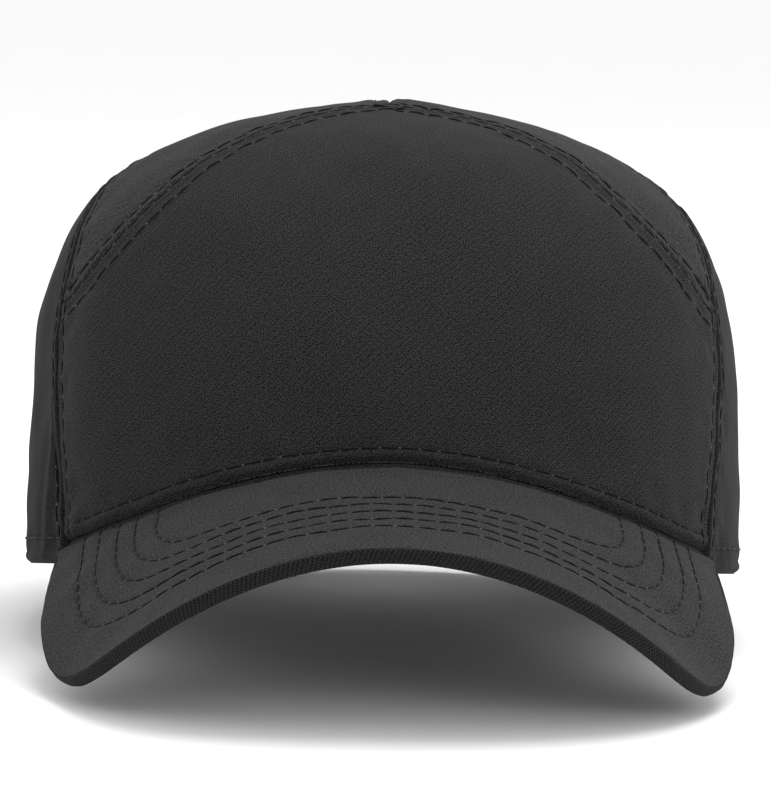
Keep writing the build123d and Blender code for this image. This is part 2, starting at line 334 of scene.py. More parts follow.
class Finish:
    """A material under construction: its Principled BSDF, and nodes added by expressions."""

    def __init__(self, name, **constants):
        self.material = bpy.data.materials.new(name)
        self.material.use_nodes = True
        self.tree = self.material.node_tree
        self.shader = self.tree.nodes["Principled BSDF"]
        self.set(**constants)

    def set(self, **values):
        for key, value in values.items():
            self._feed(self.shader.inputs[key.replace("_", " ")], value)

    def _feed(self, socket, value):
        if isinstance(value, Flow):
            self.tree.links.new(value.socket, socket)
        else:
            socket.default_value = value

    def node(self, kind, settings=None, inputs=None):
        """Adds a node; settings first, then its sockets; returns its outputs by name."""
        made = self.tree.nodes.new(kind)
        for key, value in (settings or {}).items():
            setattr(made, key, value)
        for key, value in (inputs or {}).items():
            self._feed(made.inputs[key], value)
        return {out.name: Flow(self, out) for out in made.outputs if out.enabled}

    def mix(self, factor, first, second):
        a = first if isinstance(first, Flow) else (*first, 1)
        b = second if isinstance(second, Flow) else (*second, 1)
        return self.node("ShaderNodeMix", {"data_type": "RGBA"}, {"Factor": factor, 6: a, 7: b})["Result"]

    def noise(self, vector, scale, detail=2.0, roughness=0.5):
        return self.node("ShaderNodeTexNoise", None, {"Vector": vector, "Scale": scale, "Detail": detail,
                                                      "Roughness": roughness})["Fac"]

    def bump(self, height, distance, strength=1.0):
        return self.node("ShaderNodeBump", None,
                         {"Height": height, "Distance": distance, "Strength": strength})["Normal"]

    def place(self, kind):
        return self.node("ShaderNodeTexCoord")[kind]

    def parts(self, vector):
        out = self.node("ShaderNodeSeparateXYZ", None, {"Vector": vector})
        return out["X"], out["Y"]


print("shader helpers ready")

# %% [markdown]
# ## The shell cloth
#
# The real cloth is a dark woven polyester. Its threads are about half a millimetre apart, they
# are not all dyed to the same depth, and the whole catches a soft grey sheen from above. Each
# piece carries a UV map laid out in its own plane, 1 unit to 100 mm, so the weave runs straight
# through each panel and turns at every seam, as it does when panels are cut from one roll.
# The woven relief is a pair of crossed waves with a faint diagonal rib on top of them.

# %% Woven cloth maker
def woven(name, dark, light, thread=0.5, rib=0.25, cell=0.3):
    """Cloth with threads and flecks of the given size in mm, and a diagonal rib of the given strength."""
    f = Finish(name, Specular_IOR_Level=0.06, Sheen_Weight=0.04, Sheen_Roughness=0.5)
    uv = f.place("UV")
    u, v = f.parts(uv)
    wave = 100 * 2 * math.pi / (2 * thread)
    check = (u * wave).sine() * (v * wave).sine()
    twill = ((u + v) * (wave * 0.55)).sine()
    fleck = f.noise(uv, 100 / cell, 1.0, 0.7)
    slub = f.noise(f.node("ShaderNodeVectorMath", {"operation": "MULTIPLY"},
                          {0: uv, 1: (55.0, 420.0, 0.0)})["Vector"], 1.0, 2.0, 0.6)
    cloud = f.noise(f.place("Object"), 22.0, 3.0, 0.55)
    tone = (0.5 + (fleck - 0.5) * 4.2 + (slub - 0.5) * 0.9 + (cloud - 0.5) * 0.35
            + twill * (rib * 0.5) + check * 0.12)
    f.set(Base_Color=f.mix(tone.between(-0.25, 1.25), dark, light), Roughness=0.9 + (cloud - 0.5) * 0.12)
    f.set(Normal=f.bump(check * 0.5 + twill * rib + (fleck - 0.5) * 0.7, 0.00006, 0.9))
    return f.material


BLACK = (0.002, 0.0021, 0.0024)
SHELL = woven("shell_cloth", BLACK, (0.035, 0.0353, 0.0375), rib=0.14)
# The side panels' cloth: the shell cloth painted darker, as painted shade on the sides.
SIDE_SHELL_PAINTED_SHADE = woven("shell_cloth_side_painted_shade", BLACK, (0.0195, 0.0197, 0.021), rib=0.1, cell=0.4)
# The top panels' cloth: the shell cloth painted lighter, as painted light from above.
TOP_SHELL_PAINTED_LIGHT = woven("shell_cloth_top_painted_light", (0.003, 0.0031, 0.0035), (0.041, 0.0413, 0.0435), rib=0.2, cell=0.4)
TAPE = woven("seam_tape_cloth", (0.006, 0.006, 0.007), (0.022, 0.022, 0.024), thread=0.35, rib=0.1)
BAND = woven("sweatband_cloth", (0.007, 0.007, 0.008), (0.024, 0.024, 0.026), thread=0.6, rib=0.3)


def edge_cloth():
    """The visor's rolled edge: the same cloth on the turn, its thread ends standing as rows of dots, darker
    overall than the visor's cover as painted shade.
    """
    f = Finish("visor_edge_cloth_painted_shade", Roughness=0.9, Specular_IOR_Level=0.08, Sheen_Weight=0.03)
    uv = f.place("UV")
    u, v = f.parts(uv)
    pitch = 100 * 2 * math.pi / 1.05
    rows = (v * pitch).sine()
    dots = ((u + v * 0.5) * pitch).sine() * rows
    fleck = f.noise(uv, 210.0, 1.0, 0.6)
    tone = 0.42 + dots * 0.3 + (fleck - 0.5) * 0.9
    # Darker tones than the visor's cover cloth: painted shade on the turned edge; the dots are the cloth's own
    # thread ends.
    f.set(Base_Color=f.mix(tone.between(0.0, 1.0), (0.0025, 0.0025, 0.003), (0.024, 0.024, 0.026)))
    f.set(Normal=f.bump(dots + (fleck - 0.5) * 0.5, 0.00012, 1.0))
    return f.material


EDGE_CLOTH_PAINTED_SHADE = edge_cloth()


def thread_finish(name, dark, light):
    f = Finish(name, Roughness=0.6, Specular_IOR_Level=0.08, Sheen_Weight=0.03)
    place = f.place("Object")
    fibre = f.noise(place, 2600.0, 2.0, 0.6)
    tone = f.noise(place, 420.0, 1.0, 0.5)
    f.set(Base_Color=f.mix((fibre * 0.5 + tone * 0.5).between(0.3, 0.75), dark, light))
    f.set(Normal=f.bump(fibre, 0.00005, 0.8))
    return f.material


THREAD = thread_finish("sewing_thread", (0.0015, 0.0015, 0.002), (0.009, 0.009, 0.010))
# Light grey thread specks set in the gaps between stitches: painted glints where the thread bends into the cloth.
PAINTED_GLINT_THREAD = thread_finish("sewing_thread_painted_glint", (0.03, 0.03, 0.033), (0.15, 0.15, 0.155))
print("cloth finishes:", ", ".join(m.name for m in (SHELL, SIDE_SHELL_PAINTED_SHADE, TOP_SHELL_PAINTED_LIGHT, TAPE, BAND, EDGE_CLOTH_PAINTED_SHADE, THREAD)))

# %% [markdown]
# ## Cloth sheets with sewn edges
#
# A sewn panel is flat cloth only in its middle. Along each seam the cloth is folded under, so
# its edge sinks into a groove, swells over the folded layers, is pulled in by the row of
# topstitching and relaxes beyond it. That section is one short function of the distance from
# the seam. Loosely spaced waves with a fixed seed give the small dents that any worn or packed
# cap has. Sculpting would give the same dents, but could not be repeated exactly.

# %% Relief of sewn cloth
dice = np.random.default_rng(71)


def wave_field(size, count=26):
    """Smooth random field over space, about 1 high, with dents of roughly the given size in mm."""
    directions = dice.normal(size=(count, 3))
    directions /= np.linalg.norm(directions, axis=1, keepdims=True)
    k = directions * (2 * np.pi / (size * dice.uniform(0.7, 1.6, (count, 1))))
    phase = dice.uniform(0, 2 * np.pi, count)
    return lambda p: np.sin(np.asarray(p) @ k.T + phase).sum(-1) * math.sqrt(2.0 / count)


SOFT_DENTS, SMALL_DENTS, PUCKERS = wave_field(46), wave_field(15), wave_field(7)


def bell(d, centre, width):
    return np.exp(-((d - centre) / width) ** 2)


def step(x, low, high):
    t = np.clip((x - low) / (high - low), 0, 1)
    return t * t * (3 - 2 * t)


def distance_along(points, line):
    """Distance from each point to a polyline, and how far along it the nearest place is."""
    run = lengths(line)
    flat_points = points.reshape(-1, 3)
    best, where = np.full(len(flat_points), 1e9), np.zeros(len(flat_points))
    square = (line ** 2).sum(1)
    for a in range(0, len(flat_points), 20000):
        p = flat_points[a:a + 20000]
        near = np.argmin(square - 2 * p @ line.T, axis=1)
        for shift in (-1, 0):
            i = np.clip(near + shift, 0, len(line) - 2)
            seg = line[i + 1] - line[i]
            t = np.clip(((p - line[i]) * seg).sum(1) / ((seg ** 2).sum(1) + 1e-12), 0, 1)
            d = np.linalg.norm(p - line[i] - seg * t[:, None], axis=1)
            closer = d < best[a:a + 20000]
            best[a:a + 20000][closer] = d[closer]
            where[a:a + 20000][closer] = (run[i] + t * (run[i + 1] - run[i]))[closer]
    return best.reshape(points.shape[:-1]), where.reshape(points.shape[:-1])


TOPSTITCH, HEM_STITCH, STITCH_PITCH = 3.3, 2.9, 4.4


def sewn_relief(points, edges):
    """How far cloth stands above the crown rule at points, with edges as (line, kind) pairs."""
    near_button = step(np.linalg.norm(points - np.array(BUTTON), axis=-1), 9.0, 17.0)
    total = 0.35 * SOFT_DENTS(points) + 0.10 * SMALL_DENTS(points)
    for line, kind in edges:
        d, along = distance_along(points, line)
        depth, width = {"deep seam": (1.15, 0.65), "seam": (0.8, 0.42)}.get(kind, (0.45, 0.4))
        pinch = 0.75 + 0.25 * np.cos(2 * np.pi * along / STITCH_PITCH)
        if kind != "hem":
            total = total - depth * bell(d, 0, width)
            total = total + near_button * (0.2 * bell(d, 1.4, 0.8) - 0.2 * pinch * bell(d, TOPSTITCH, 0.45)
                                           + 0.08 * bell(d, 4.2, 1.1))
        else:
            total = total - 1.0 * bell(d, 0, 0.6) + 0.25 * bell(d, 1.7, 1.0)
            total = total - 0.22 * pinch * bell(d, HEM_STITCH, 0.45) + 0.08 * bell(d, 5.0, 1.2)
        total = total + 0.13 * near_button * PUCKERS(points) * bell(d, 4.0, 5.0) * step(d, 0.2, 2.0)
    return np.clip(total, -1.15, 1.6)


def fold_crease(points):
    """The long soft fold on the wearer's right side, behind the side seam."""
    across = points[..., 1] + 44.0 + 0.05 * points[..., 2]
    share = step(points[..., 2], -4, 6) * (1 - step(points[..., 2], 24, 40)) * (points[..., 0] < 0)
    return share * (0.75 * bell(across, 0, 2.2) - 0.55 * bell(across, -5.5, 2.6) - 0.35 * bell(across, 5.5, 3.0))


# %% Turning point grids into closed sheets
PIECES = {}
SAME_PLACE = 1e-6  # metres


def piece(name, vertices_mm, faces, uv, material, body="crown", slot="shell_fabric", replaces=()):
    """A mesh in the shared frame from points in mm, closed, facing outwards, riding on its body."""
    mesh = bpy.data.meshes.new(name)
    mesh.from_pydata(to_row(vertices_mm).tolist(), [], faces)
    if uv is not None:
        layer = mesh.uv_layers.new(name="weave")
        corner = np.empty(len(mesh.loops), dtype=np.int32)
        mesh.loops.foreach_get("vertex_index", corner)
        layer.data.foreach_set("uv", (np.asarray(uv, float)[corner] * 0.01).ravel())
    made = bmesh.new()
    made.from_mesh(mesh)
    bmesh.ops.remove_doubles(made, verts=made.verts, dist=SAME_PLACE)
    bmesh.ops.recalc_face_normals(made, faces=made.faces)
    for face in made.faces:
        face.smooth = True
    made.to_mesh(mesh)
    made.free()
    mesh.materials.append(material)
    made_object = bpy.data.objects.new(name, mesh)
    bpy.context.collection.objects.link(made_object)
    PIECES[name] = (made_object, body, slot, replaces)
    return made_object


def evaluated(made):
    """The object's mesh with its modifiers applied; the modifiers are taken off."""
    view = bpy.context.evaluated_depsgraph_get()
    mesh = bpy.data.meshes.new_from_object(made.evaluated_get(view), depsgraph=view)
    made.modifiers.clear()
    return mesh


def sheet_faces(rows, columns, loop_rows=False, loop_columns=False, start=0):
    i, j = np.meshgrid(np.arange(rows - (not loop_rows)), np.arange(columns - (not loop_columns)), indexing="ij")
    i2, j2 = (i + 1) % rows, (j + 1) % columns
    corners = [i * columns + j, i2 * columns + j, i2 * columns + j2, i * columns + j2]
    return np.stack(corners, -1).reshape(-1, 4) + start


def tube_faces(count, around):
    """Faces of a tube of rings, with a cap on both ends."""
    caps = [list(range(around)), list(range((count - 1) * around, count * around))[::-1]]
    return sheet_faces(count, around, loop_columns=True).tolist() + caps


def closed_sheet(outer, inner):
    """Vertices and faces of a sheet with two sides and its rim walls."""
    n, m = outer.shape[:2]
    vertices = np.concatenate([outer.reshape(-1, 3), inner.reshape(-1, 3)])
    front = sheet_faces(n, m)
    back = sheet_faces(n, m, start=n * m)[:, ::-1]
    index = np.arange(n * m).reshape(n, m)
    ring = np.concatenate([index[0, :-1], index[:-1, -1], index[-1, :0:-1], index[:0:-1, 0]])
    after = np.roll(ring, -1)
    wall = np.stack([after, ring, ring + n * m, after + n * m], -1)
    return vertices, np.concatenate([front, back, wall]).tolist()


EDGE_ROWS = np.array([0, 0.25, 0.5, 0.8, 1.15, 1.5, 1.9, 2.3, 2.65, 3.0, 3.4, 3.9, 4.6, 5.6])


def spread(length, widest, pace=1.25):
    """Positions from 0 to 1 over a length in mm: close rows by both edges, even ones between."""
    middle = max(4, int((widest - 2 * EDGE_ROWS[-1]) / pace))
    edge = EDGE_ROWS / np.maximum(np.asarray(length)[..., None], 27.0)
    core = edge[..., -1:] + (1 - 2 * edge[..., -1:]) * np.linspace(0, 1, middle + 2)[1:-1]
    return np.concatenate([edge, core, 1 - edge[..., ::-1]], -1)


def along_line(line, t):
    x = t * (len(line) - 1)
    return np.stack([np.interp(x, np.arange(len(line)), line[:, k]) for k in range(line.shape[1])], -1)


def patch(left, right, bottom, top, pace=1.25):
    """Flat-map grid inside four meeting lines (a Coons patch), with close rows by every edge."""
    left, right, bottom = (evenly(line, 400, on_crown(line)) for line in (left, right, bottom))
    top = evenly(top, 400, on_crown(top)) if len(top) > 1 else np.repeat(top, 400, 0)

    def blend(u, v):
        u1, v1 = u[..., None], v[..., None]
        a, b, c, d = along_line(left, v), along_line(right, v), along_line(bottom, u), along_line(top, u)
        corner = ((1 - u1) * (1 - v1) * left[0] + u1 * (1 - v1) * right[0]
                  + (1 - u1) * v1 * left[-1] + u1 * v1 * right[-1])
        return (1 - u1) * a + u1 * b + (1 - v1) * c + v1 * d - corner

    t = np.linspace(0, 1, 41)
    u, v = np.meshgrid(t, t)
    coarse = on_crown(blend(u, v))
    wide = np.linalg.norm(np.diff(coarse, axis=1), axis=-1).sum(1)
    tall = np.linalg.norm(np.diff(coarse, axis=0), axis=-1).sum(0)
    rows0 = spread(tall.max(), tall.max(), pace)
    columns0 = spread(wide.max(), wide.max(), pace)
    u = spread(np.interp(rows0, t, wide), wide.max(), pace)
    v = spread(np.interp(columns0, t, tall), tall.max(), pace).T
    return blend(u, v)


print("sheet tools ready; rows near an edge, in mm:", EDGE_ROWS.tolist())

# %% [markdown]
# ## The visor's surface
#
# The visor is a board bent round a nearly round log and sewn along the front panel. Every place
# on it has two numbers: x across, and s forward along its slope. The bend is tighter at its
# front edge than at the crown, so the radius changes with s.

# %% The visor rule and the hem line
PITCH, RIDGE_Z = math.radians(15.5), 22.5
VISOR_ORIGIN = np.array([0.0, float(crown_at(np.array(0.0), np.array(RIDGE_Z / HEIGHT))[1]), RIDGE_Z])
FORWARD = np.array([0.0, -math.cos(PITCH), -math.sin(PITCH)])
OUT = np.array([0.0, -math.sin(PITCH), math.cos(PITCH)])
HEM_LIFT = 1.1


def bend_radius(s):
    return 76.0 + 33.0 / (1 + np.exp((s - 14.0) / 14.0))


def on_visor(x, s, depth=0.0):
    """Point of the visor, depth mm below its upper face."""
    r = bend_radius(s)
    tilt = np.arcsin(np.clip(x / r, -1, 1))
    normal = np.sin(tilt)[..., None] * SIDE + np.cos(tilt)[..., None] * OUT
    base = (VISOR_ORIGIN + s[..., None] * FORWARD + x[..., None] * SIDE
            + (np.sqrt(np.clip(r * r - x * x, 0, None)) - r)[..., None] * OUT)
    return base - np.asarray(depth)[..., None] * normal


def above_visor(points):
    rel = points - VISOR_ORIGIN
    s, x, w = rel @ FORWARD, rel[..., 0], rel @ OUT
    r = bend_radius(s)
    return np.hypot(x, w + r) - r


def hem_line(lift, from_angle, to_angle, count=500):
    """Flat-map line where the crown stands lift mm above the visor's upper face."""
    angle = np.linspace(from_angle, to_angle, count)
    height = halved(np.zeros(count), np.full(count, 0.45), lambda h: above_visor(crown_at(angle, h)) > lift)
    return to_flat(angle, height)


def mirrored(flat):
    return flat * [-1.0, 1.0]


HANDS = (("left", lambda flat: flat, 1), ("right", mirrored, -1))


heights = above_visor(on_crown(side_seam)) - HEM_LIFT
hem_start = int(np.argmax(heights > 0))
hem_corner = side_seam[hem_start]
corner_angle = math.atan2(hem_corner[0], -hem_corner[1])
hem = hem_line(HEM_LIFT, -corner_angle, corner_angle)
hem[0], hem[-1] = mirrored(hem_corner), hem_corner
gap = np.linalg.norm(on_crown(side_seam)[:, None] - on_crown(arch_seam)[None], axis=-1)
meet, arch_end = np.unravel_index(np.argmin(gap), gap.shape)
arch = arch_seam[:arch_end + 1].copy()
arch[-1] = side_seam[meet]
print("hem at the side seam", on_crown(hem_corner).round(1))
print("arch meets the side seam at", on_crown(side_seam[meet]).round(1))

# %% Panel outlines
left_arch = mirrored(arch)[::-1]
arch_whole = np.vstack([left_arch, arch[1:]])
rim_foot_front, rim_foot_rear = side_seam[0], rear_seam[0]


def rim_arc(first, last):
    a, b = math.atan2(first[0], -first[1]), math.atan2(last[0], -last[1])
    line = to_flat(np.linspace(a, b, 300), np.zeros(300))
    line[0], line[-1] = first, last
    return line


OPEN_HALF, OPEN_SHOULDER, OPEN_TOP = 45.0, 12.0, 55.0
quarter = np.linspace(0, math.pi / 2, 120)
open_x = np.append(np.full(29, OPEN_HALF), OPEN_HALF * np.cos(quarter))
open_z = np.append(np.linspace(0, OPEN_SHOULDER, 30)[:-1],
                   OPEN_SHOULDER + (OPEN_TOP - OPEN_SHOULDER) * np.sin(quarter))
opening = on_front_view(open_x, open_z, behind=True)
opening[-1, 0] = 0.0
back_seam = np.stack([np.zeros(200), np.linspace(opening[-1, 1], button_flat[1], 200)], -1)
centre_seam = np.stack([np.zeros(100), np.linspace(arch[0, 1], button_flat[1], 100)], -1)
button_point = button_flat[None]


def laid(kind, points, run):
    """Cloth coordinates in mm for a panel: along its width and up its length."""
    if kind == "top":
        return np.stack([points[..., 0], points[..., 1]], -1)
    if kind == "side":
        return np.stack([98 * np.arcsin(np.clip(points[..., 1] / 106, -1, 1)), run], -1)
    return np.stack([84 * np.arcsin(np.clip(points[..., 0] / 90, -1, 1)), run], -1)


def panel(name, kind, grid, edges, material, fold=None, thickness=1.0):
    base = on_crown(grid)
    normal = slopes(grid)[2]
    rise = sewn_relief(base, edges)
    if fold is not None:
        rise = rise + fold(base)
    outer = base + normal * rise[..., None]
    soft = 0.35 * SOFT_DENTS(base)
    inner = base + normal * (np.minimum(soft, rise) - thickness - 0.05)[..., None]
    vertices, faces = closed_sheet(outer, inner)
    run = RUN * np.hypot(grid[..., 0], grid[..., 1])
    uv = np.tile(laid(kind, base, run).reshape(-1, 2), (2, 1))
    made = piece(name, vertices, faces, uv, material, replaces=(name,))
    print(name, len(made.data.vertices), "vertices")
    return made


def seam3(flat):
    return on_crown(evenly(flat, 600, on_crown(flat)))


# %% Cut and place the seven panels
lower_side, upper_side = side_seam[hem_start:meet + 1], side_seam[meet:]
front_grid = patch(mirrored(lower_side), lower_side, hem, arch_whole)
front_edges = [(seam3(lower_side), "deep seam"), (seam3(mirrored(lower_side)), "deep seam"),
               (seam3(arch_whole), "flat seam"), (seam3(hem), "hem")]
panel("front_panel", "front", front_grid, front_edges, SHELL)
panel_edges = {"front_panel": front_edges}
for hand, flip, _ in HANDS:
    side_edges = [(seam3(flip(side_seam)), "deep seam"), (seam3(flip(rear_seam)), "seam"),
                  (seam3(flip(rim_arc(rim_foot_front, rim_foot_rear))), "hem")]
    grid = patch(side_seam, rear_seam, rim_arc(rim_foot_front, rim_foot_rear), button_point)
    # The side panels take the darker cloth, painted shade.
    panel("side_panel_" + hand, "side", flip(grid), side_edges, SIDE_SHELL_PAINTED_SHADE, fold_crease)
    back_edges = [(seam3(flip(rear_seam)), "seam"), (seam3(back_seam), "seam"), (seam3(flip(opening)), "hem"),
                  (seam3(flip(rim_arc(rim_foot_rear, opening[0]))), "hem")]
    grid = patch(rear_seam, np.vstack([opening, back_seam[1:]]), rim_arc(rim_foot_rear, opening[0]), button_point)
    panel("back_panel_" + hand, "back", flip(grid), back_edges, SHELL)
    top_edges = [(seam3(flip(upper_side)), "deep seam"), (seam3(centre_seam), "flat seam"),
                 (seam3(flip(arch)), "flat seam")]
    grid = patch(upper_side, centre_seam, arch[::-1], button_point)
    # The top panels take the lighter cloth, painted light from above.
    panel("top_panel_" + hand, "top", flip(grid), top_edges, TOP_SHELL_PAINTED_LIGHT)
    panel_edges.update({"side_panel_" + hand: side_edges, "back_panel_" + hand: back_edges,
                        "top_panel_" + hand: top_edges})

# %% [markdown]
# ## The visor
#
# Under the cloth is a moulded board. The cover is pulled over it, turned round the front edge
# and closed against the under cover, then five rows of stitches go through all the layers. The
# covers are grids laid on the visor rule, with the rows of stitches pressed into them. The edge
# is a separate strip, because the cloth there is on the turn and shows its threads end on.

# %% Visor outline and its five rows, as (x, s) in mm
def bow(half, reach, flat, fall, back, flare=0.062, count=500):
    """Outline from the +X back end round the front to the -X back end."""
    a = np.linspace(0, 1, 3000) ** 2 * (np.pi / 2)
    x, s = half * np.sin(a) ** (2 / flat), reach * np.cos(a) ** (2 / fall)
    x = np.concatenate([x, np.linspace(half, half - flare * abs(back), 200)[1:]])
    s = np.concatenate([s, np.linspace(0, back, 200)[1:]])
    line = np.stack([x, s], -1)[::-1]
    line = np.vstack([line, (line * [-1, 1])[::-1][1:]])
    return evenly(line, count, on_visor(line[:, 0], line[:, 1]))


VISOR_BACK = -32.5
outline = bow(77.0, 69.0, 4.0, 1.74, VISOR_BACK)
ROWS = [bow(half, reach, 4.6, 2.4, -30.0, flare=0.017) for half, reach in
        ((68.5, 49.8), (64.8, 43.8), (60.4, 38.0), (56.3, 31.8), (51.5, 26.2))]


def root_line(inset, depth):
    """The visor's seam line with the crown as (x, s), inset mm inside the crown."""
    angle = np.linspace(corner_angle, -corner_angle, 400)
    height = halved(np.full(400, -0.1), np.full(400, 0.45),
                    lambda h: above_visor(crown_at(angle, h, inset)) > -depth)
    rel = crown_at(angle, height, inset) - VISOR_ORIGIN
    return np.stack([rel[:, 0], rel @ FORWARD], -1)


def visor_grid(rim, depth, inset, along=300, across=105):
    root = root_line(inset, depth)
    root = evenly(root, along, on_visor(root[:, 0], root[:, 1]))
    rim = evenly(rim, along, on_visor(rim[:, 0], rim[:, 1]))
    t = np.linspace(0, 1, across)
    t = np.concatenate([t[:-1], 1 - (1 - t[-2]) * np.array([0.66, 0.33, 0])])[:, None, None]
    return root * (1 - t) + rim * t


def visor_normal(x, s):
    tilt = np.arcsin(np.clip(x / bend_radius(s), -1, 1))
    return np.sin(tilt)[..., None] * SIDE + np.cos(tilt)[..., None] * OUT


def quilted(points, rows3):
    """Relief of a cover stitched down over the board, in mm."""
    total = 0.10 * SMALL_DENTS(points) + 0.12 * SOFT_DENTS(points)
    for row in rows3:
        d, along = distance_along(points, row)
        pinch = 0.7 + 0.3 * np.cos(2 * np.pi * along / STITCH_PITCH)
        total = total - 0.15 * pinch * bell(d, 0, 0.5) + 0.04 * bell(d, 1.9, 0.9)
        total = total + 0.025 * PUCKERS(points) * bell(d, 1.8, 2.0)
    return total


def edge_frames(line, depth=0.0):
    """Place, outward direction and normal along an outline on the visor."""
    p = on_visor(line[:, 0], line[:, 1], depth)
    n = visor_normal(line[:, 0], line[:, 1])
    t = np.gradient(p, axis=0)
    t /= np.linalg.norm(t, axis=1, keepdims=True)
    o = np.cross(t, n)
    away = p - on_visor(line[:, 0] * 0.8, line[:, 1] * 0.8 - 6)
    o *= np.sign((o * away).sum(1))[:, None]
    return p, o, n


def moved_in(line, by):
    """The outline moved inwards over the visor by a few mm, in (x, s)."""
    p, o, n = edge_frames(line)
    rel = p - o * by - VISOR_ORIGIN
    return np.stack([rel[:, 0], rel @ FORWARD], -1)


def cloth_run(grid):
    """Cloth coordinates in mm on the visor: round its bend, and forward."""
    x, s = grid[..., 0], grid[..., 1]
    r = bend_radius(s)
    return np.stack([r * np.arcsin(np.clip(x / r, -1, 1)), s], -1).reshape(-1, 2)


VISOR_INSET = (2.2, 2.2, 2.2, 2.2)
rows3 = [on_visor(row[:, 0], row[:, 1]) for row in ROWS]
grid = visor_grid(moved_in(outline, 0.7), 0.0, VISOR_INSET)
x, s = grid[..., 0], grid[..., 1]
flat_cover = on_visor(x, s)
root_d = distance_along(flat_cover, seam3(hem))[0]
relief = quilted(flat_cover, rows3) * step(np.arange(grid.shape[0])[::-1][:, None], 0, 6)
relief = relief - 1.0 * bell(root_d, 0, 1.5) + 0.08 * bell(root_d, 3.6, 1.5)
outer = flat_cover + visor_normal(x, s) * relief[..., None]
inner = on_visor(x, s, 0.6)
vertices, faces = closed_sheet(outer, inner)
# The visor's cloth is the shell cloth painted lighter, as painted light from above; the under cover takes the same
# lighter cloth.
VISOR_CLOTH_PAINTED_LIGHT = woven("visor_cover_cloth_painted_light", (0.002, 0.0021, 0.0025), (0.041, 0.0413, 0.0437), rib=0.1, cell=0.5)
piece("visor_top_cover", vertices, faces, np.tile(cloth_run(grid), (2, 1)), VISOR_CLOTH_PAINTED_LIGHT,
      replaces=("visor_top_cover",))

UNDER_DEPTH, COVER = 2.7, 0.6
UNDER_FACE = UNDER_DEPTH + COVER
grid = visor_grid(moved_in(outline, 1.7), UNDER_FACE, VISOR_INSET)
x, s = grid[..., 0], grid[..., 1]
under_rows3 = [on_visor(row[:, 0], row[:, 1], UNDER_FACE) for row in ROWS]
base = on_visor(x, s, UNDER_FACE)
relief = quilted(base, under_rows3) * step(np.arange(grid.shape[0])[::-1][:, None], 0, 6)
outer = base - visor_normal(x, s) * relief[..., None]
vertices, faces = closed_sheet(outer, on_visor(x, s, UNDER_DEPTH))
# The under cover takes the same cloth with the painted light.
piece("visor_under_cover", vertices, faces, np.tile(cloth_run(grid), (2, 1)), VISOR_CLOTH_PAINTED_LIGHT,
      replaces=("visor_under_cover",))

# %% Rolled edge of the visor
edge_line = evenly(outline, 620, on_visor(outline[:, 0], outline[:, 1]))
p, o, n = edge_frames(edge_line)
quarter = np.linspace(0, np.pi / 2, 7)
section = [(-1.2, 0.25), (-0.9, 0.08)]
section += [(-0.65 + 0.7 * math.sin(a), 0.7 - 0.7 * math.cos(a)) for a in quarter[1:]]
section += [(0.12, 1.2), (0.14, 1.8), (0.08, 2.4)]
section += [(-0.75 + 0.8 * math.cos(a), 2.55 + 0.85 * math.sin(a)) for a in quarter]
section += [(-1.4, 3.36), (-1.9, 3.28), (-1.9, 2.75), (-1.3, 2.7), (-0.7, 2.4), (-0.5, 1.7), (-0.55, 1.0),
            (-1.0, 0.6)]
section = np.array(section)
wobble = (0.06 * SMALL_DENTS(p) + 0.05 * PUCKERS(p))[:, None, None]
away, down = section[None, :, :1], section[None, :, 1:]
ring = p[:, None] + o[:, None] * (away + wobble * step(away, -1.2, 0)) - n[:, None] * down
faces = tube_faces(*ring.shape[:2])
run, turn_run = lengths(p), lengths(section)
uv = np.stack(np.broadcast_arrays(run[:, None], turn_run[None, :]), -1).reshape(-1, 2)
# The edge strip takes the darker edge cloth, painted shade.
piece("visor_edge_fold", ring.reshape(-1, 3), faces, uv, EDGE_CLOTH_PAINTED_SHADE)
print("visor covers and edge made; edge run", round(run[-1], 1), "mm")

# %% [markdown]
# ## Stitches
#
# About two thousand stitches hold this cap together. Each is a short bow of thread that dives
# into the cloth at both ends. Geometry Nodes suit them well: a row is only a line with an
# "up" direction on it, and the tree walks the line, sets one bow per stitch length, turns it
# to lie along the row and joins the result to one mesh.

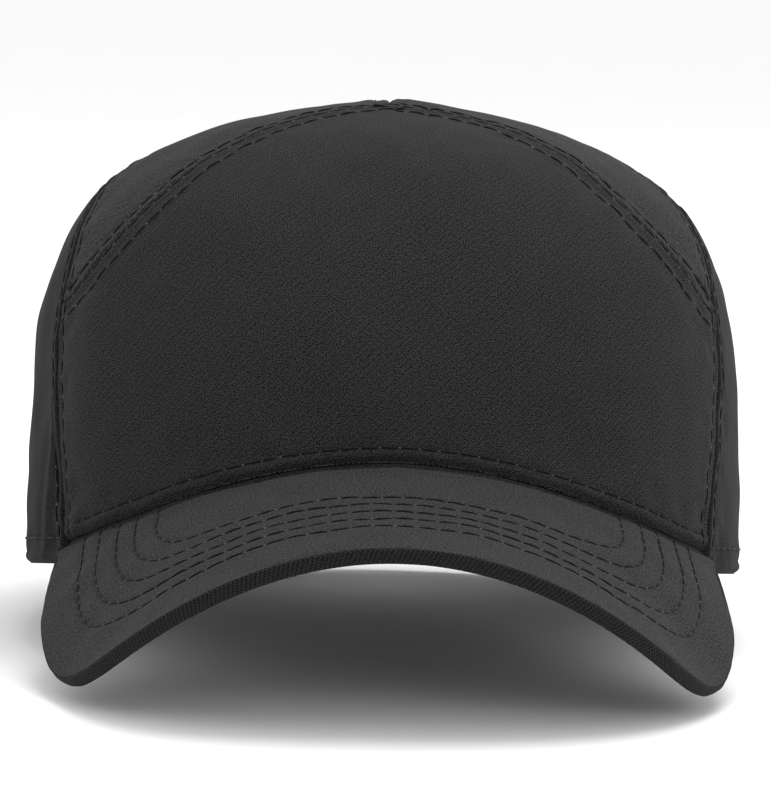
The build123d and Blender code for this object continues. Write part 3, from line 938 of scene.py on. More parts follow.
# %% The stitching tree
def stitching_tree():
    tree = bpy.data.node_groups.new("stitch_rows", "GeometryNodeTree")
    tree.interface.new_socket("Geometry", in_out="INPUT", socket_type="NodeSocketGeometry")
    for label, value in (("Pitch", 0.0044), ("Dash", 0.0036), ("Thread radius", 0.0003), ("Bow", 0.0004)):
        tree.interface.new_socket(label, in_out="INPUT", socket_type="NodeSocketFloat").default_value = value
    tree.interface.new_socket("Thread", in_out="INPUT", socket_type="NodeSocketMaterial")
    tree.interface.new_socket("Geometry", in_out="OUTPUT", socket_type="NodeSocketGeometry")
    links = tree.links

    def add(kind, settings=(), **inputs):
        made = tree.nodes.new(kind)
        for key, value in dict(settings).items():
            setattr(made, key, value)
        for key, value in inputs.items():
            socket = made.inputs[key.replace("_", " ")]
            if isinstance(value, bpy.types.NodeSocket):
                links.new(value, socket)
            else:
                socket.default_value = value
        return made

    def maths(operation, a, b):
        made = add("ShaderNodeMath", {"operation": operation})
        for socket, value in zip(made.inputs, (a, b)):
            if isinstance(value, bpy.types.NodeSocket):
                links.new(value, socket)
            else:
                socket.default_value = value
        return made.outputs[0]

    start = add("NodeGroupInput").outputs
    curve = add("GeometryNodeMeshToCurve", Mesh=start["Geometry"])
    even = add("GeometryNodeResampleCurve", {"mode": "LENGTH"}, Curve=curve.outputs[0], Length=start["Pitch"])
    half = maths("MULTIPLY", start["Dash"], 0.5)
    back_half = maths("MULTIPLY", start["Dash"], -0.5)
    sink = maths("MULTIPLY", start["Bow"], -1.0)
    ends = [add("ShaderNodeCombineXYZ", X=x, Z=z).outputs[0] for x, z in
            ((back_half, sink), (maths("MULTIPLY", back_half, 0.8), start["Bow"]),
             (maths("MULTIPLY", half, 0.8), start["Bow"]), (half, sink))]
    bow_curve = add("GeometryNodeCurvePrimitiveBezierSegment", Resolution=7, Start=ends[0], Start_Handle=ends[1],
                    End_Handle=ends[2], End=ends[3])
    outline_circle = add("GeometryNodeCurvePrimitiveCircle", Resolution=6, Radius=start["Thread radius"])
    bow_mesh = add("GeometryNodeCurveToMesh", Curve=bow_curve.outputs[0], Fill_Caps=True)
    links.new(outline_circle.outputs[0], bow_mesh.inputs["Profile Curve"])
    up = add("GeometryNodeInputNamedAttribute", {"data_type": "FLOAT_VECTOR"}, Name="up")
    along = add("GeometryNodeInputTangent")
    turned = add("FunctionNodeAxesToRotation", {"primary_axis": "X", "secondary_axis": "Z"})
    links.new(along.outputs[0], turned.inputs[0])
    links.new(up.outputs[0], turned.inputs[1])
    size = add("FunctionNodeRandomValue", {"data_type": "FLOAT_VECTOR"}, Seed=5)
    size.inputs[0].default_value, size.inputs[1].default_value = (0.93, 0.9, 0.85), (1.04, 1.1, 1.15)
    placed = add("GeometryNodeInstanceOnPoints", Points=even.outputs[0], Instance=bow_mesh.outputs[0],
                 Rotation=turned.outputs[0], Scale=size.outputs[0])
    real = add("GeometryNodeRealizeInstances", Geometry=placed.outputs[0])
    dyed = add("GeometryNodeSetMaterial", Geometry=real.outputs[0], Material=start["Thread"])
    out = add("NodeGroupOutput")
    links.new(dyed.outputs[0], out.inputs[0])
    return tree


STITCHING = stitching_tree()


def sew(name, rows, material, pitch=4.4, dash=3.7, radius=0.26, bow=0.3, body="crown", slot="thread", replaces=()):
    """Stitches along rows, each a pair of points and up directions in mm of the cap's frame."""
    points = np.vstack([to_row(p) for p, _ in rows])
    up = np.vstack([n @ CAP_AXES for _, n in rows])
    starts = np.cumsum([0] + [len(p) for p, _ in rows])
    edges = [(i, i + 1) for a, b in zip(starts[:-1], starts[1:]) for i in range(a, b - 1)]
    mesh = bpy.data.meshes.new(name)
    mesh.from_pydata(points.tolist(), edges, [])
    mesh.attributes.new("up", "FLOAT_VECTOR", "POINT").data.foreach_set("vector", up.ravel())
    made = bpy.data.objects.new(name, mesh)
    bpy.context.collection.objects.link(made)
    modifier = made.modifiers.new("stitches", "NODES")
    modifier.node_group = STITCHING
    values = {"Pitch": pitch * 0.001, "Dash": dash * 0.001, "Thread radius": radius * 0.001, "Bow": bow * 0.001,
              "Thread": material}
    for item in STITCHING.interface.items_tree:
        if item.in_out == "INPUT" and item.name in values:
            modifier[item.identifier] = values[item.name]
    stitched = evaluated(made)
    made.data = stitched
    if not stitched.materials:
        stitched.materials.append(material)
    for polygon in stitched.polygons:
        polygon.use_smooth = True
    PIECES[name] = (made, body, slot, replaces)
    print(name, len(stitched.polygons), "faces")
    return made


def between(rows, pitch):
    """The same rows cut back by half a stitch, so that what is set on them falls in the gaps."""
    cut = []
    for p, n in rows:
        run = lengths(p)
        if run[-1] < 3 * pitch:
            continue
        half = run[-1] / int(run[-1] / pitch) / 2
        t = np.linspace(half, run[-1] - half, len(p))
        cut.append((np.stack([np.interp(t, run, p[:, k]) for k in range(3)], -1), n))
    return cut


def runs(keep):
    """Index ranges where keep is true."""
    change = np.flatnonzero(np.diff(np.concatenate([[0], keep.astype(int), [0]])))
    return [(a, b) for a, b in zip(change[::2], change[1::2]) if b - a > 12]


def crown_row(flat_line, offset, edges, lift=0.04):
    """A stitch row beside a seam, kept off the other seams of its panel."""
    line = beside(evenly(flat_line, 700, on_crown(flat_line)), offset)
    line = evenly(line, 700, on_crown(line))
    points, normal = on_crown(line), slopes(line)[2]
    least = np.min([distance_along(points, edge)[0] for edge, _ in edges], axis=0)
    clear = (least > min(abs(offset), 3.0) - 0.5) & (np.linalg.norm(points - np.array(BUTTON), axis=1) > 9.5)
    rise = sewn_relief(points, edges) + lift
    placed = points + normal * rise[:, None]
    return [(placed[a:b], normal[a:b]) for a, b in runs(clear)]


# %% Sew the crown
E = panel_edges
rows = []
for hand, flip, way in HANDS:
    side_line, rear_line, arch_line = flip(side_seam), flip(rear_seam), flip(arch)
    rows += crown_row(side_line, -TOPSTITCH * way, E["side_panel_" + hand])
    rows += crown_row(flip(lower_side), TOPSTITCH * way, E["front_panel"])
    rows += crown_row(flip(upper_side), TOPSTITCH * way, E["top_panel_" + hand])
    rows += crown_row(arch_line, TOPSTITCH * way, E["top_panel_" + hand])
    rows += crown_row(rear_line, TOPSTITCH * way, E["side_panel_" + hand])
    rows += crown_row(rear_line, -TOPSTITCH * way, E["back_panel_" + hand])
    beside_back_seam = crown_row(back_seam, -TOPSTITCH * way, E["back_panel_" + hand])
    rows += [max(beside_back_seam, key=lambda row: len(row[0]))]
    rows += crown_row(centre_seam, TOPSTITCH * way, E["top_panel_" + hand])
    rows += crown_row(flip(opening), HEM_STITCH * way, E["back_panel_" + hand])
    rows += crown_row(flip(rim_arc(rim_foot_front, rim_foot_rear)), HEM_STITCH * way, E["side_panel_" + hand])
    rows += crown_row(flip(rim_arc(rim_foot_rear, opening[0])), HEM_STITCH * way, E["back_panel_" + hand])
rows += crown_row(arch_whole, -5.0, E["front_panel"])
rows += crown_row(hem, HEM_STITCH, E["front_panel"])
print(len(rows), "stitch rows on the crown")
rows += crown_row(arch_whole, -0.5, E["front_panel"], lift=0.1)
sew("crown_topstitching", rows, THREAD, radius=0.24, bow=0.16)
# Light grey specks in the stitch gaps, painted glints.
sew("crown_stitch_painted_glints", between(rows, 4.4), PAINTED_GLINT_THREAD, dash=0.36, radius=0.11, bow=0.03)

# %% Sew the visor
def visor_rows(depth, way):
    made = []
    for row in ROWS:
        x, s = row[:, 0], row[:, 1]
        p, n = on_visor(x, s, depth), visor_normal(x, s) * way
        base3 = rows3 if way > 0 else under_rows3
        p = p + n * (quilted(p, base3) + 0.05)[:, None]
        rel = np.abs(p[:, 0] / (HALF_WIDTH * profile(p[:, 2] / HEIGHT, 0.033, 5.8, 1.68))) ** 2.35
        rel = rel + np.abs(p[:, 1] / (FRONT_REACH * profile(p[:, 2] / HEIGHT, 0.1, 5.0, 1.68))) ** 2.35
        outside = rel > 1.02 if way > 0 else rel > 0.96
        made += [(p[a:b], n[a:b]) for a, b in runs(outside)]
    return made


top_rows = visor_rows(0.0, 1)
sew("visor_topstitching", top_rows, THREAD, pitch=4.6, dash=4.0, radius=0.25, bow=0.16)
# Light grey specks in the stitch gaps, painted glints.
sew("visor_stitch_painted_glints", between(top_rows, 4.6), PAINTED_GLINT_THREAD, pitch=4.6, dash=0.4, radius=0.13, bow=0.04)
sew("visor_understitching", visor_rows(UNDER_FACE, -1), THREAD, pitch=4.6, dash=4.0, radius=0.2, bow=0.16)

# %% [markdown]
# ## Inside the crown
#
# Turned over, a structured cap shows how it is made: a stiff open-weave lining behind the front
# panel, a folded tape sewn over every seam and a sweatband round the rim. The lining is the
# front panel's own grid, moved in. A tape is a strip walked along a seam, so it is built from
# a line and a short cross-section. The sweatband is the same idea on a wider scale.

# %% Open-weave lining
def lining_finish():
    f = Finish("open_weave_lining", Roughness=0.8, Specular_IOR_Level=0.2)
    uv = f.place("UV")
    u, v = f.parts(uv)
    wave = 100 * math.pi / 1.1
    holes = ((u * wave).sine().absolute() * (v * wave).sine().absolute()).between(0.35, 0.75)
    fleck = f.noise(uv, 160.0, 2.0, 0.6)
    strand = f.mix(fleck.between(0.3, 0.7), (0.05, 0.05, 0.052), (0.11, 0.11, 0.112))
    f.set(Base_Color=f.mix(holes, strand, (0.008, 0.008, 0.009)))
    f.set(Normal=f.bump(1 - holes, 0.0002, 0.8))
    return f.material


base = on_crown(front_grid[::2, ::2], (1.3, 1.3, 1.3, 1.3))
deep = on_crown(front_grid[::2, ::2], (1.8, 1.8, 1.8, 1.8))
shift = 0.3 * SOFT_DENTS(base)[..., None] * slopes(front_grid[::2, ::2])[2]
vertices, faces = closed_sheet(base + shift, deep + shift)
run = RUN * np.hypot(front_grid[::2, ::2, 0], front_grid[::2, ::2, 1])
uv = np.tile(laid("front", base, run).reshape(-1, 2), (2, 1))
piece("front_stiffener", vertices, faces, uv, lining_finish(), slot="buckram", replaces=("front_stiffener",))

# %% Seam tapes
def tape(name, flat_line, width, inset, replaces, first=0.0, last=1.0, along=220):
    """Folded tape over a seam, with two sewn channels."""
    line = evenly(flat_line, 700, on_crown(flat_line))
    line = line[int(first * 699):int(last * 699) + 1]
    line = evenly(line, along, on_crown(line))
    across = [-1, -0.97, -0.9, -0.8, -0.72, -0.64, -0.5, -0.25]
    across = np.array(across + [0] + [-a for a in across[::-1]])
    puff = [0, 0.25, 0.42, 0.36, 0.12, 0.32, 0.45, 0.5]
    puff = np.array(puff + [0.52] + puff[::-1])
    grid = np.stack([beside(line, a * width / 2) for a in across], 1)
    base, normal = on_crown(grid), slopes(grid)[2]
    soft = 0.3 * SOFT_DENTS(base)
    ripple = 0.08 * PUCKERS(base)
    outer = base + normal * (soft - inset)[..., None]
    inner = base + normal * (soft - inset - 0.18 - puff * 0.9 + ripple * puff)[..., None]
    vertices, faces = closed_sheet(outer, inner)
    run = lengths(on_crown(line))
    uv = np.stack(np.broadcast_arrays(run[:, None], across[None] * width / 2), -1).reshape(-1, 2)
    piece(name, vertices, faces, np.tile(uv, (2, 1)), TAPE, slot="tape", replaces=replaces)
    stitches = []
    for a in (-0.72, 0.72):
        row = beside(line, a * width / 2)
        p, n = on_crown(row), slopes(row)[2]
        stitches.append((p + n * (0.3 * SOFT_DENTS(p) - inset - 0.32)[:, None], -n))
    return stitches


tape_rows = []
tape_rows += tape("tape_arch", arch_whole, 12.0, 1.75, ("tape_arch",))
for hand, flip, _ in HANDS:
    tape_rows += tape("tape_side_" + hand, flip(side_seam), 12.0, 1.85, ("tape_side_" + hand,), 0.16, 0.955)
    tape_rows += tape("tape_rear_" + hand, flip(rear_seam), 12.0, 1.2, ("tape_rear_" + hand,), 0.2, 0.96)
tape_rows += tape("tape_centre", centre_seam, 12.0, 1.25, ("tape_centre",), 0.05, 0.9)
tape_rows += tape("tape_back", back_seam, 12.0, 1.3, ("tape_back",), 0.06, 0.94)
opening_whole = np.vstack([opening, mirrored(opening)[::-1][1:]])
binding = beside(evenly(opening_whole, 700, on_crown(opening_whole)), 3.0)
if on_crown(binding[350])[2] < OPEN_TOP:
    binding = beside(evenly(opening_whole, 700, on_crown(opening_whole)), -3.0)
tape_rows += tape("tape_opening", binding, 6.0, 1.1, ("tape_opening",), 0.03, 0.97)
sew("tape_stitching", tape_rows, THREAD, pitch=3.2, dash=2.6, radius=0.2, bow=0.2)

# %% Sweatband
BAND_TALL = 31.0
BAND_OUT, BAND_IN = (4.6, 2.4, 5.2, 3.0), (6.0, 3.8, 6.6, 5.0)
BAND_END, BAND_SINK, BAND_FOOT = 46.0, 3.8, 0.004
end_angle = math.pi - math.asin(BAND_END / HALF_WIDTH)
angle = np.linspace(-end_angle, end_angle, 420)
over_visor = halved(np.full(420, -0.02), np.full(420, 0.4),
                    lambda h: above_visor(crown_at(angle, h, BAND_OUT)) > -BAND_SINK)
foot = np.where(np.abs(angle) < corner_angle * 1.12, np.maximum(over_visor, BAND_FOOT), BAND_FOOT)
kernel = np.ones(9) / 9
foot = np.convolve(np.pad(foot, 4, "edge"), kernel, "valid")
turned_in = np.linspace(0, np.pi, 7)
section = [(0.0, t) for t in np.linspace(0.02, 0.98, 22)]
section += [(0.5 - 0.5 * math.cos(a), 0.98 + 0.02 * math.sin(a)) for a in turned_in[1:]]
section += [(1.0, t) for t in np.linspace(0.97, 0.03, 26)]
section += [(0.5 + 0.5 * math.cos(a), 0.02 - 0.02 * math.sin(a)) for a in turned_in[1:-1]]
section = np.array(section)
share = section[:, 0][None, :, None]
h = foot[:, None] + section[:, 1][None] * BAND_TALL / HEIGHT
angles = np.broadcast_to(angle[:, None], h.shape)
outside, inside = crown_at(angles, h, BAND_OUT), crown_at(angles, h, BAND_IN)
up_mm = section[:, 1] * BAND_TALL
channel = (0.35 * bell(up_mm, 4.0, 0.6) + 0.3 * bell(up_mm, 27.5, 0.6) - 0.45 * bell(up_mm, 2.0, 1.1)
           - 0.5 * bell(up_mm, 15, 9))
ripple = 0.22 * PUCKERS(inside) * bell(up_mm, 4, 5)[None] + 0.35 * SMALL_DENTS(inside)
thick = 1.0 - (channel[None] - ripple) / 1.5
ring = outside + (inside - outside) * share * np.where(share > 0.5, thick[..., None], 1.0)
faces = tube_faces(*ring.shape[:2])
run = lengths(inside[:, 5])
lap = np.concatenate([[0], np.cumsum(np.hypot(np.diff(section[:, 0]) * 1.5, np.diff(section[:, 1]) * BAND_TALL))])
uv = np.stack(np.broadcast_arrays(run[:, None], lap[None]), -1).reshape(-1, 2)
piece("sweatband", ring.reshape(-1, 3), faces, uv, BAND, slot="band_fabric", replaces=("sweatband",))
band_rows = []
for level in (4.0, 27.5):
    k = np.argmin(np.abs(up_mm - level) + 10 * (section[:, 0] < 0.9))
    inward = inside[:, k] - outside[:, k]
    inward /= np.linalg.norm(inward, axis=1, keepdims=True)
    band_rows.append((ring[:, k] + inward * 0.1, inward))
sew("sweatband_stitching", band_rows, THREAD, pitch=3.6, dash=2.8, radius=0.22, bow=0.2)
print("inside of the crown done")

# %% [markdown]
# ## Button and eyelets
#
# A cloth-covered button hides the place where all the panels meet. Its cover is gathered under
# the rim, which pulls shallow radial folds. The four eyelets are holes bound with satin
# stitches: about forty radial bows round each hole, placed by the same kind of node tree.

# %% Covered button
def tilted_frame(origin, up):
    up = np.asarray(up, float) / np.linalg.norm(up)
    side = np.cross([0, 1.0, 0.2], up)
    side /= np.linalg.norm(side)
    return np.asarray(origin, float), side, np.cross(up, side), up


def turned(profile_rz, frame_at, count=96, wobble=None):
    """Rows of points from a turned section, with an optional ripple by angle."""
    o, a, b, c = frame_at
    t = np.linspace(0, 2 * np.pi, count, endpoint=False)
    r, z = np.asarray(profile_rz, float).T
    radius = np.broadcast_to(r[:, None], (len(r), count)).copy()
    height = np.broadcast_to(z[:, None], (len(z), count)).copy()
    if wobble is not None:
        radius, height = wobble(radius, height, t[None])
    return (o + (radius * np.cos(t))[..., None] * a + (radius * np.sin(t))[..., None] * b + height[..., None] * c)


def turned_piece(name, rows3d, uv_scale, material, closed=False, **more):
    n, m = rows3d.shape[:2]
    faces = sheet_faces(n, m, True, True).tolist() if closed else tube_faces(n, m)
    run = np.arange(n)[:, None] * uv_scale
    uv = np.stack(np.broadcast_arrays(np.arange(m)[None] * uv_scale, run), -1).reshape(-1, 2)
    return piece(name, rows3d.reshape(-1, 3), faces, uv, material, **more)


BUTTON_TILT = math.radians(14)
button_up = np.array([0.0, math.sin(BUTTON_TILT), math.cos(BUTTON_TILT)])
button_frame = tilted_frame(BUTTON, button_up)
dome = [(0.02, 3.75), (0.8, 3.74), (1.8, 3.66), (2.9, 3.5), (4.0, 3.22), (5.0, 2.82), (5.9, 2.28), (6.6, 1.62),
        (7.1, 0.9), (7.35, 0.2), (7.35, -0.5), (7.1, -1.1), (6.5, -1.5), (5.0, -1.6), (0.02, -1.6)]
fine = smooth_line([(r, 0, z) for r, z in dome], 60)[:, [0, 2]]


def gathers(radius, height, t):
    share = step(radius, 3.0, 7.2)
    fold = 0.10 * np.cos(11 * t + 0.6 * np.sin(2 * t)) + 0.06 * np.cos(19 * t + 1.3)
    return radius + share * fold, height + 0.05 * np.cos(3 * t) * share


# The button's cover takes the top panels' lighter cloth, painted light from above.
turned_piece("button_cover", turned(fine, button_frame, 120, gathers), 0.3, TOP_SHELL_PAINTED_LIGHT, replaces=("button_cover",))

# %% Eyelets
EYELETS = {"side_left": (102, 70), "side_right": (-102, 70), "back_left": (150, 77), "back_right": (-150, 77)}


def satin_tree():
    """Satin binding of a hole: bows set radially round a circle."""
    tree = bpy.data.node_groups.new("satin_binding", "GeometryNodeTree")
    for label, kind, value in (("Strands", "NodeSocketInt", 44), ("Ring radius", "NodeSocketFloat", 0.0032),
                               ("Strand length", "NodeSocketFloat", 0.0022),
                               ("Strand radius", "NodeSocketFloat", 0.00028)):
        tree.interface.new_socket(label, in_out="INPUT", socket_type=kind).default_value = value
    tree.interface.new_socket("Thread", in_out="INPUT", socket_type="NodeSocketMaterial")
    tree.interface.new_socket("Geometry", in_out="OUTPUT", socket_type="NodeSocketGeometry")
    links, new = tree.links, tree.nodes.new
    start = new("NodeGroupInput").outputs
    circle = new("GeometryNodeCurvePrimitiveCircle")
    links.new(start["Strands"], circle.inputs["Resolution"])
    links.new(start["Ring radius"], circle.inputs["Radius"])
    strand = new("GeometryNodeMeshUVSphere")
    strand.inputs["Segments"].default_value, strand.inputs["Rings"].default_value = 6, 6
    links.new(start["Strand radius"], strand.inputs["Radius"])
    stretch = new("ShaderNodeMath")
    stretch.operation = "DIVIDE"
    links.new(start["Strand length"], stretch.inputs[0])
    double = new("ShaderNodeMath")
    double.operation = "MULTIPLY"
    double.inputs[1].default_value = 2.0
    links.new(start["Strand radius"], double.inputs[0])
    links.new(double.outputs[0], stretch.inputs[1])
    shape = new("ShaderNodeCombineXYZ")
    shape.inputs["X"].default_value, shape.inputs["Z"].default_value = 1.0, 2.6
    links.new(stretch.outputs[0], shape.inputs["Y"])
    along = new("GeometryNodeInputTangent")
    turned_to = new("FunctionNodeAxesToRotation")
    turned_to.primary_axis, turned_to.secondary_axis = "X", "Z"
    turned_to.inputs[1].default_value = (0, 0, 1)
    links.new(along.outputs[0], turned_to.inputs[0])
    placed = new("GeometryNodeInstanceOnPoints")
    links.new(circle.outputs[0], placed.inputs["Points"])
    links.new(strand.outputs[0], placed.inputs["Instance"])
    links.new(turned_to.outputs[0], placed.inputs["Rotation"])
    links.new(shape.outputs[0], placed.inputs["Scale"])
    real, dyed, out = new("GeometryNodeRealizeInstances"), new("GeometryNodeSetMaterial"), new("NodeGroupOutput")
    links.new(placed.outputs[0], real.inputs[0])
    links.new(real.outputs[0], dyed.inputs[0])
    links.new(start["Thread"], dyed.inputs["Material"])
    links.new(dyed.outputs[0], out.inputs[0])
    return tree


SATIN = satin_tree()
EYELET_THREAD = thread_finish("eyelet_thread", (0.004, 0.004, 0.0045), (0.02, 0.02, 0.022))


def bind_eyelet(name, degrees, z):
    flat = to_flat(np.array(math.radians(degrees)), np.array(z / HEIGHT))
    centre, normal = on_crown(flat), slopes(flat)[2]
    lift = 0.35 * float(SOFT_DENTS(centre)) + 0.1 * float(SMALL_DENTS(centre))
    frame_at = tilted_frame(centre + normal * (lift - 0.15), normal)
    mesh = bpy.data.meshes.new("eyelet_" + name)
    made = bpy.data.objects.new("eyelet_" + name, mesh)
    bpy.context.collection.objects.link(made)
    modifier = made.modifiers.new("binding", "NODES")
    modifier.node_group = SATIN
    values = {"Strands": 44, "Ring radius": 0.0031, "Strand length": 0.0023, "Strand radius": 0.00027,
              "Thread": EYELET_THREAD}
    for item in SATIN.interface.items_tree:
        if item.in_out == "INPUT":
            modifier[item.identifier] = values[item.name]
    bound = evaluated(made)
    o, a, b, c = frame_at
    co = np.empty(len(bound.vertices) * 3)
    bound.vertices.foreach_get("co", co)
    co = co.reshape(-1, 3) * 1000
    bound.vertices.foreach_set("co", to_row(o + co[:, :1] * a + co[:, 1:2] * b + co[:, 2:] * c).ravel())
    for polygon in bound.polygons:
        polygon.use_smooth = True
    made.data = bound
    PIECES["eyelet_" + name] = (made, "crown", "thread", ("eyelet_" + name,))
    wall = turned([(2.1, 0.35), (2.5, 0.55), (3.1, 0.6), (3.7, 0.5), (4.05, 0.1), (4.0, -0.6), (3.9, -1.4),
                   (3.2, -1.75), (2.5, -1.6), (2.1, -1.0)], frame_at, 40)
    turned_piece("eyelet_core_" + name, wall, 0.3, EYELET_THREAD, closed=True, slot="thread")
    drill = bpy.data.meshes.new("drill")
    bore = turned([(2.35, -6.0), (2.35, 5.0)], frame_at, 32)
    drill.from_pydata(to_row(bore.reshape(-1, 3)).tolist(), [], tube_faces(*bore.shape[:2]))
    cleaned = bmesh.new()
    cleaned.from_mesh(drill)
    bmesh.ops.recalc_face_normals(cleaned, faces=cleaned.faces)
    cleaned.to_mesh(drill)
    cleaned.free()
    return drill


def punch(panel_name, drill):
    """Cuts the eyelet's hole through a panel."""
    panel_object = PIECES[panel_name][0]
    cutter = bpy.data.objects.new("cutter", drill)
    bpy.context.collection.objects.link(cutter)
    modifier = panel_object.modifiers.new("hole", "BOOLEAN")
    modifier.operation, modifier.solver, modifier.object = "DIFFERENCE", "EXACT", cutter
    cut = evaluated(panel_object)
    before = len(panel_object.data.vertices)
    panel_object.data = cut
    bpy.data.objects.remove(cutter)
    print("eyelet hole in", panel_name, before, "->", len(cut.vertices), "vertices")


for name, (degrees, z) in EYELETS.items():
    place, hand = name.split("_")
    punch(place + "_panel_" + hand, bind_eyelet(name, degrees, z))

# %% [markdown]
# ## The back closure
#
# The strap is a folded strip of the same cloth, sewn along both edges. It runs inside the back
# panels and through a small metal slide whose lever clamps it, and the slide hangs on a loop
# sewn to the wearer's right back panel. The slide is rigid and right as packed, so it keeps its
# CAD shape and gets a dark plated finish. The strap and loop are cloth and are built again.

# %% Strap
ARC_CENTRE = np.array([0.0, 25.0, 0.0])
STRAP_Z, BAR_ANGLE = 11.0, -34.5


def on_arc(degrees, reach, z):
    a = np.radians(degrees)
    return ARC_CENTRE + np.stack(np.broadcast_arrays(reach * np.sin(a), reach * np.cos(a), z), -1)


STRAP_CLOTH = woven("strap_cloth", (0.004, 0.004, 0.0045), (0.042, 0.0423, 0.0445), rib=0.15)
turn_in = np.linspace(0, np.pi, 6)
wide = [(-8.5 + 17 * t) for t in np.linspace(0, 1, 34)]
section = [(0.6 + 0.12 * (1 - bell(8.8 - abs(w), 0, 0.5)) - 0.2 * bell(8.9 - abs(w), 2.0, 0.4), w) for w in wide]
section += [(0.55 * math.cos(a), 8.5 + 0.5 * math.sin(a)) for a in turn_in[1:-1]]
section += [(-0.6 + 0.12 * bell(8.9 - abs(w), 2.0, 0.4), w) for w in wide[::-1]]
section += [(-0.55 * math.cos(a), -8.5 - 0.5 * math.sin(a)) for a in turn_in[1:-1]]
section = np.array(section)
angle = np.linspace(-52, 52, 240)
ring = on_arc(angle[:, None], 72.4 + section[None, :, 0], STRAP_Z + section[None, :, 1])
ring = ring + 0.05 * SMALL_DENTS(ring)[..., None] * (ring - ARC_CENTRE - [0, 0, STRAP_Z]) / 73
faces = tube_faces(*ring.shape[:2])
lap = lengths(section)
uv = np.stack(np.broadcast_arrays(np.radians(angle)[:, None] * 72.4, lap[None]), -1).reshape(-1, 2)
piece("closure_strap", ring.reshape(-1, 3), faces, uv, STRAP_CLOTH, body="strap", replaces=("closure_strap",))
strap_rows = []
for side in (1, -1):
    for edge in (-6.9, 6.9):
        p = on_arc(angle[4:-4], 72.4 + side * 0.62, STRAP_Z + edge)
        n = (p - ARC_CENTRE - [0, 0, STRAP_Z + edge]) / 73 * side
        strap_rows.append((p, n))
sew("strap_stitching", strap_rows, THREAD, pitch=3.4, dash=2.8, radius=0.17, bow=0.14, body="strap")

# %% Loop round the slide's bar
bar = on_arc(BAR_ANGLE, 75.0, STRAP_Z)
outwards = (bar - ARC_CENTRE - [0, 0, STRAP_Z]) / 75.0
sideways = np.cross([0, 0, 1.0], outwards)
tab = on_arc(np.linspace(BAR_ANGLE - 17.8, BAR_ANGLE - 0.6, 40), 76.05, STRAP_Z)
WRAP_RADIUS = 1.15
sense = 1.0 if (tab[-1] - bar) @ sideways > 0 else -1.0
wrap_turn = np.pi / 2 + np.linspace(0.25, 2 * np.pi * 0.93, 40)
wrap = bar + WRAP_RADIUS * (np.cos(wrap_turn)[:, None] * sideways * sense + np.sin(wrap_turn)[:, None] * outwards)
if np.linalg.norm(wrap[0] - tab[-1]) > np.linalg.norm(wrap[-1] - tab[-1]) + 0.5:
    wrap = wrap[::-1]
path = np.vstack([tab, wrap])
along = np.gradient(path, axis=0)
along /= np.linalg.norm(along, axis=1, keepdims=True)
face = np.cross(along, [0, 0, 1.0])
face *= np.sign(face[5] @ outwards)
across = np.concatenate([[-8, -7.9, -7.7], np.linspace(-7.3, 7.3, 26), [7.7, 7.9, 8]])
edge_soft = 1 - 0.8 * bell(8 - np.abs(across), 0, 0.25)
thick = 0.34 * edge_soft - 0.09 * bell(8 - np.abs(across), 1.6, 0.4)
grid = path[:, None] + across[None, :, None] * np.array([0, 0, 1.0])
vertices, faces = closed_sheet(grid + face[:, None] * thick[None, :, None],
                               grid - face[:, None] * 0.3 * edge_soft[None, :, None])
run = lengths(path)
uv = np.stack(np.broadcast_arrays(run[:, None], across[None]), -1).reshape(-1, 2)
piece("buckle_loop", vertices, faces, np.tile(uv, (2, 1)), STRAP_CLOTH, replaces=("buckle_loop",))


def tab_row(t, w):
    p = on_arc(BAR_ANGLE - 17.8 + 17.2 * np.asarray(t), 76.05 + 0.36, STRAP_Z + np.asarray(w))
    n = p - ARC_CENTRE
    n[:, 2] = 0
    return p, n / np.linalg.norm(n, axis=1, keepdims=True)


even01, ones = np.linspace(0.05, 0.7, 60), np.ones(60)
over_tab, diagonal = np.linspace(-6.4, 6.4, 60), np.linspace(-6, 6, 60)
tab_rows = [tab_row(even01, 6.4 * ones), tab_row(even01, -6.4 * ones), tab_row(0.07 * ones, over_tab),
            tab_row(0.68 * ones, over_tab), tab_row(even01, diagonal), tab_row(even01, np.linspace(6, -6, 60))]
sew("loop_stitching", tab_rows, THREAD, pitch=2.6, dash=2.1, radius=0.17, bow=0.14)

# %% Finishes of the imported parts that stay
def plated(name, colour, roughness):
    f = Finish(name, Metallic=1.0)
    place = f.place("Object")
    stretched = f.node("ShaderNodeVectorMath", {"operation": "MULTIPLY"},
                       {0: place, 1: (900.0, 900.0, 14000.0)})["Vector"]
    brush = f.noise(stretched, 1.0, 3.0, 0.6)
    wear = f.noise(place, 320.0, 4.0, 0.65)
    f.set(Base_Color=f.mix((wear * 0.6 + brush * 0.4).between(0.3, 0.7), colour, tuple(c * 1.35 for c in colour)))
    f.set(Roughness=roughness + (brush - 0.5) * 0.16 + (wear - 0.5) * 0.12, Normal=f.bump(brush, 0.00002, 0.6))
    return f.material


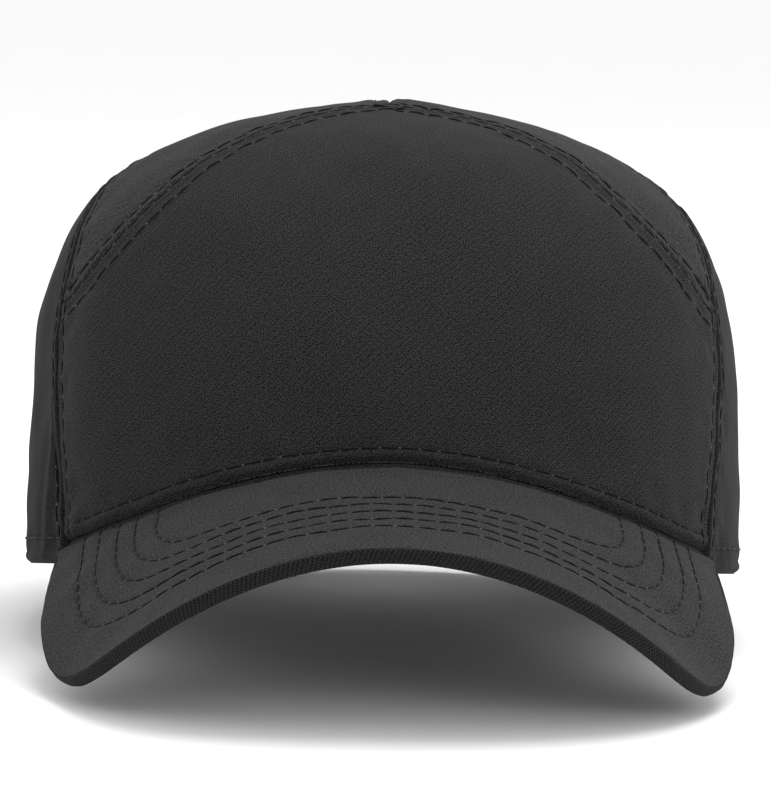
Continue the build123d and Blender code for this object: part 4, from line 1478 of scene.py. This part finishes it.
def moulded(name, colour):
    f = Finish(name, Specular_IOR_Level=0.4)
    place = f.place("Object")
    grain = f.noise(place, 2200.0, 3.0, 0.6)
    cloud = f.noise(place, 60.0, 2.0, 0.5)
    f.set(Base_Color=f.mix(cloud.between(0.3, 0.7), colour, tuple(c * 1.4 for c in colour)))
    f.set(Roughness=0.5 + (grain - 0.5) * 0.25, Normal=f.bump(grain, 0.00004, 0.7))
    return f.material


NICKEL = plated("dark_nickel", (0.17, 0.17, 0.175), 0.32)
BLACKENED = plated("blackened_steel", (0.05, 0.05, 0.052), 0.4)
BOARD = moulded("visor_board_plastic", (0.02, 0.02, 0.02))
for node_name, finish in (("buckle_frame", NICKEL), ("buckle_lever", NICKEL), ("buckle_pin", NICKEL),
                          ("button_backing", BLACKENED), ("visor_board", BOARD)):
    mesh = frame["nodes"][node_name].data
    mesh.materials.clear()
    mesh.materials.append(finish)
print("closure made; packed parts refinished")

# %% [markdown]
# ## The floor

# %% Floor disc under the cap
floor_finish = Finish("studio_floor", Roughness=0.9, Specular_IOR_Level=0.1)
paper = floor_finish.noise(floor_finish.place("Object"), 40.0, 2.0)
floor_finish.set(Base_Color=floor_finish.mix(paper, (0.93, 0.93, 0.93), (0.96, 0.96, 0.96)))
floor_mesh = bpy.data.meshes.new("floor")
around = np.linspace(0, 2 * np.pi, 97)[:-1]
floor_mesh.from_pydata([(6 * math.cos(a), 6 * math.sin(a), 0.0) for a in around], [], [list(range(96))])
floor_mesh.materials.append(floor_finish.material)
floor = bpy.data.objects.new("floor", floor_mesh)
bpy.context.collection.objects.link(floor)
print("floor laid")

# %% [markdown]
# ## Hand everything to the frame
#
# Each piece rides on its CAD body and stands in for the CAD solid it was built from.

# %% Ride and replace
for made_object, body, slot, replaces in PIECES.values():
    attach(made_object, body)
    if replaces:
        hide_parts(*replaces)
print("triangles", sum(len(p.data.polygons) * 2 for p, *_ in PIECES.values()))
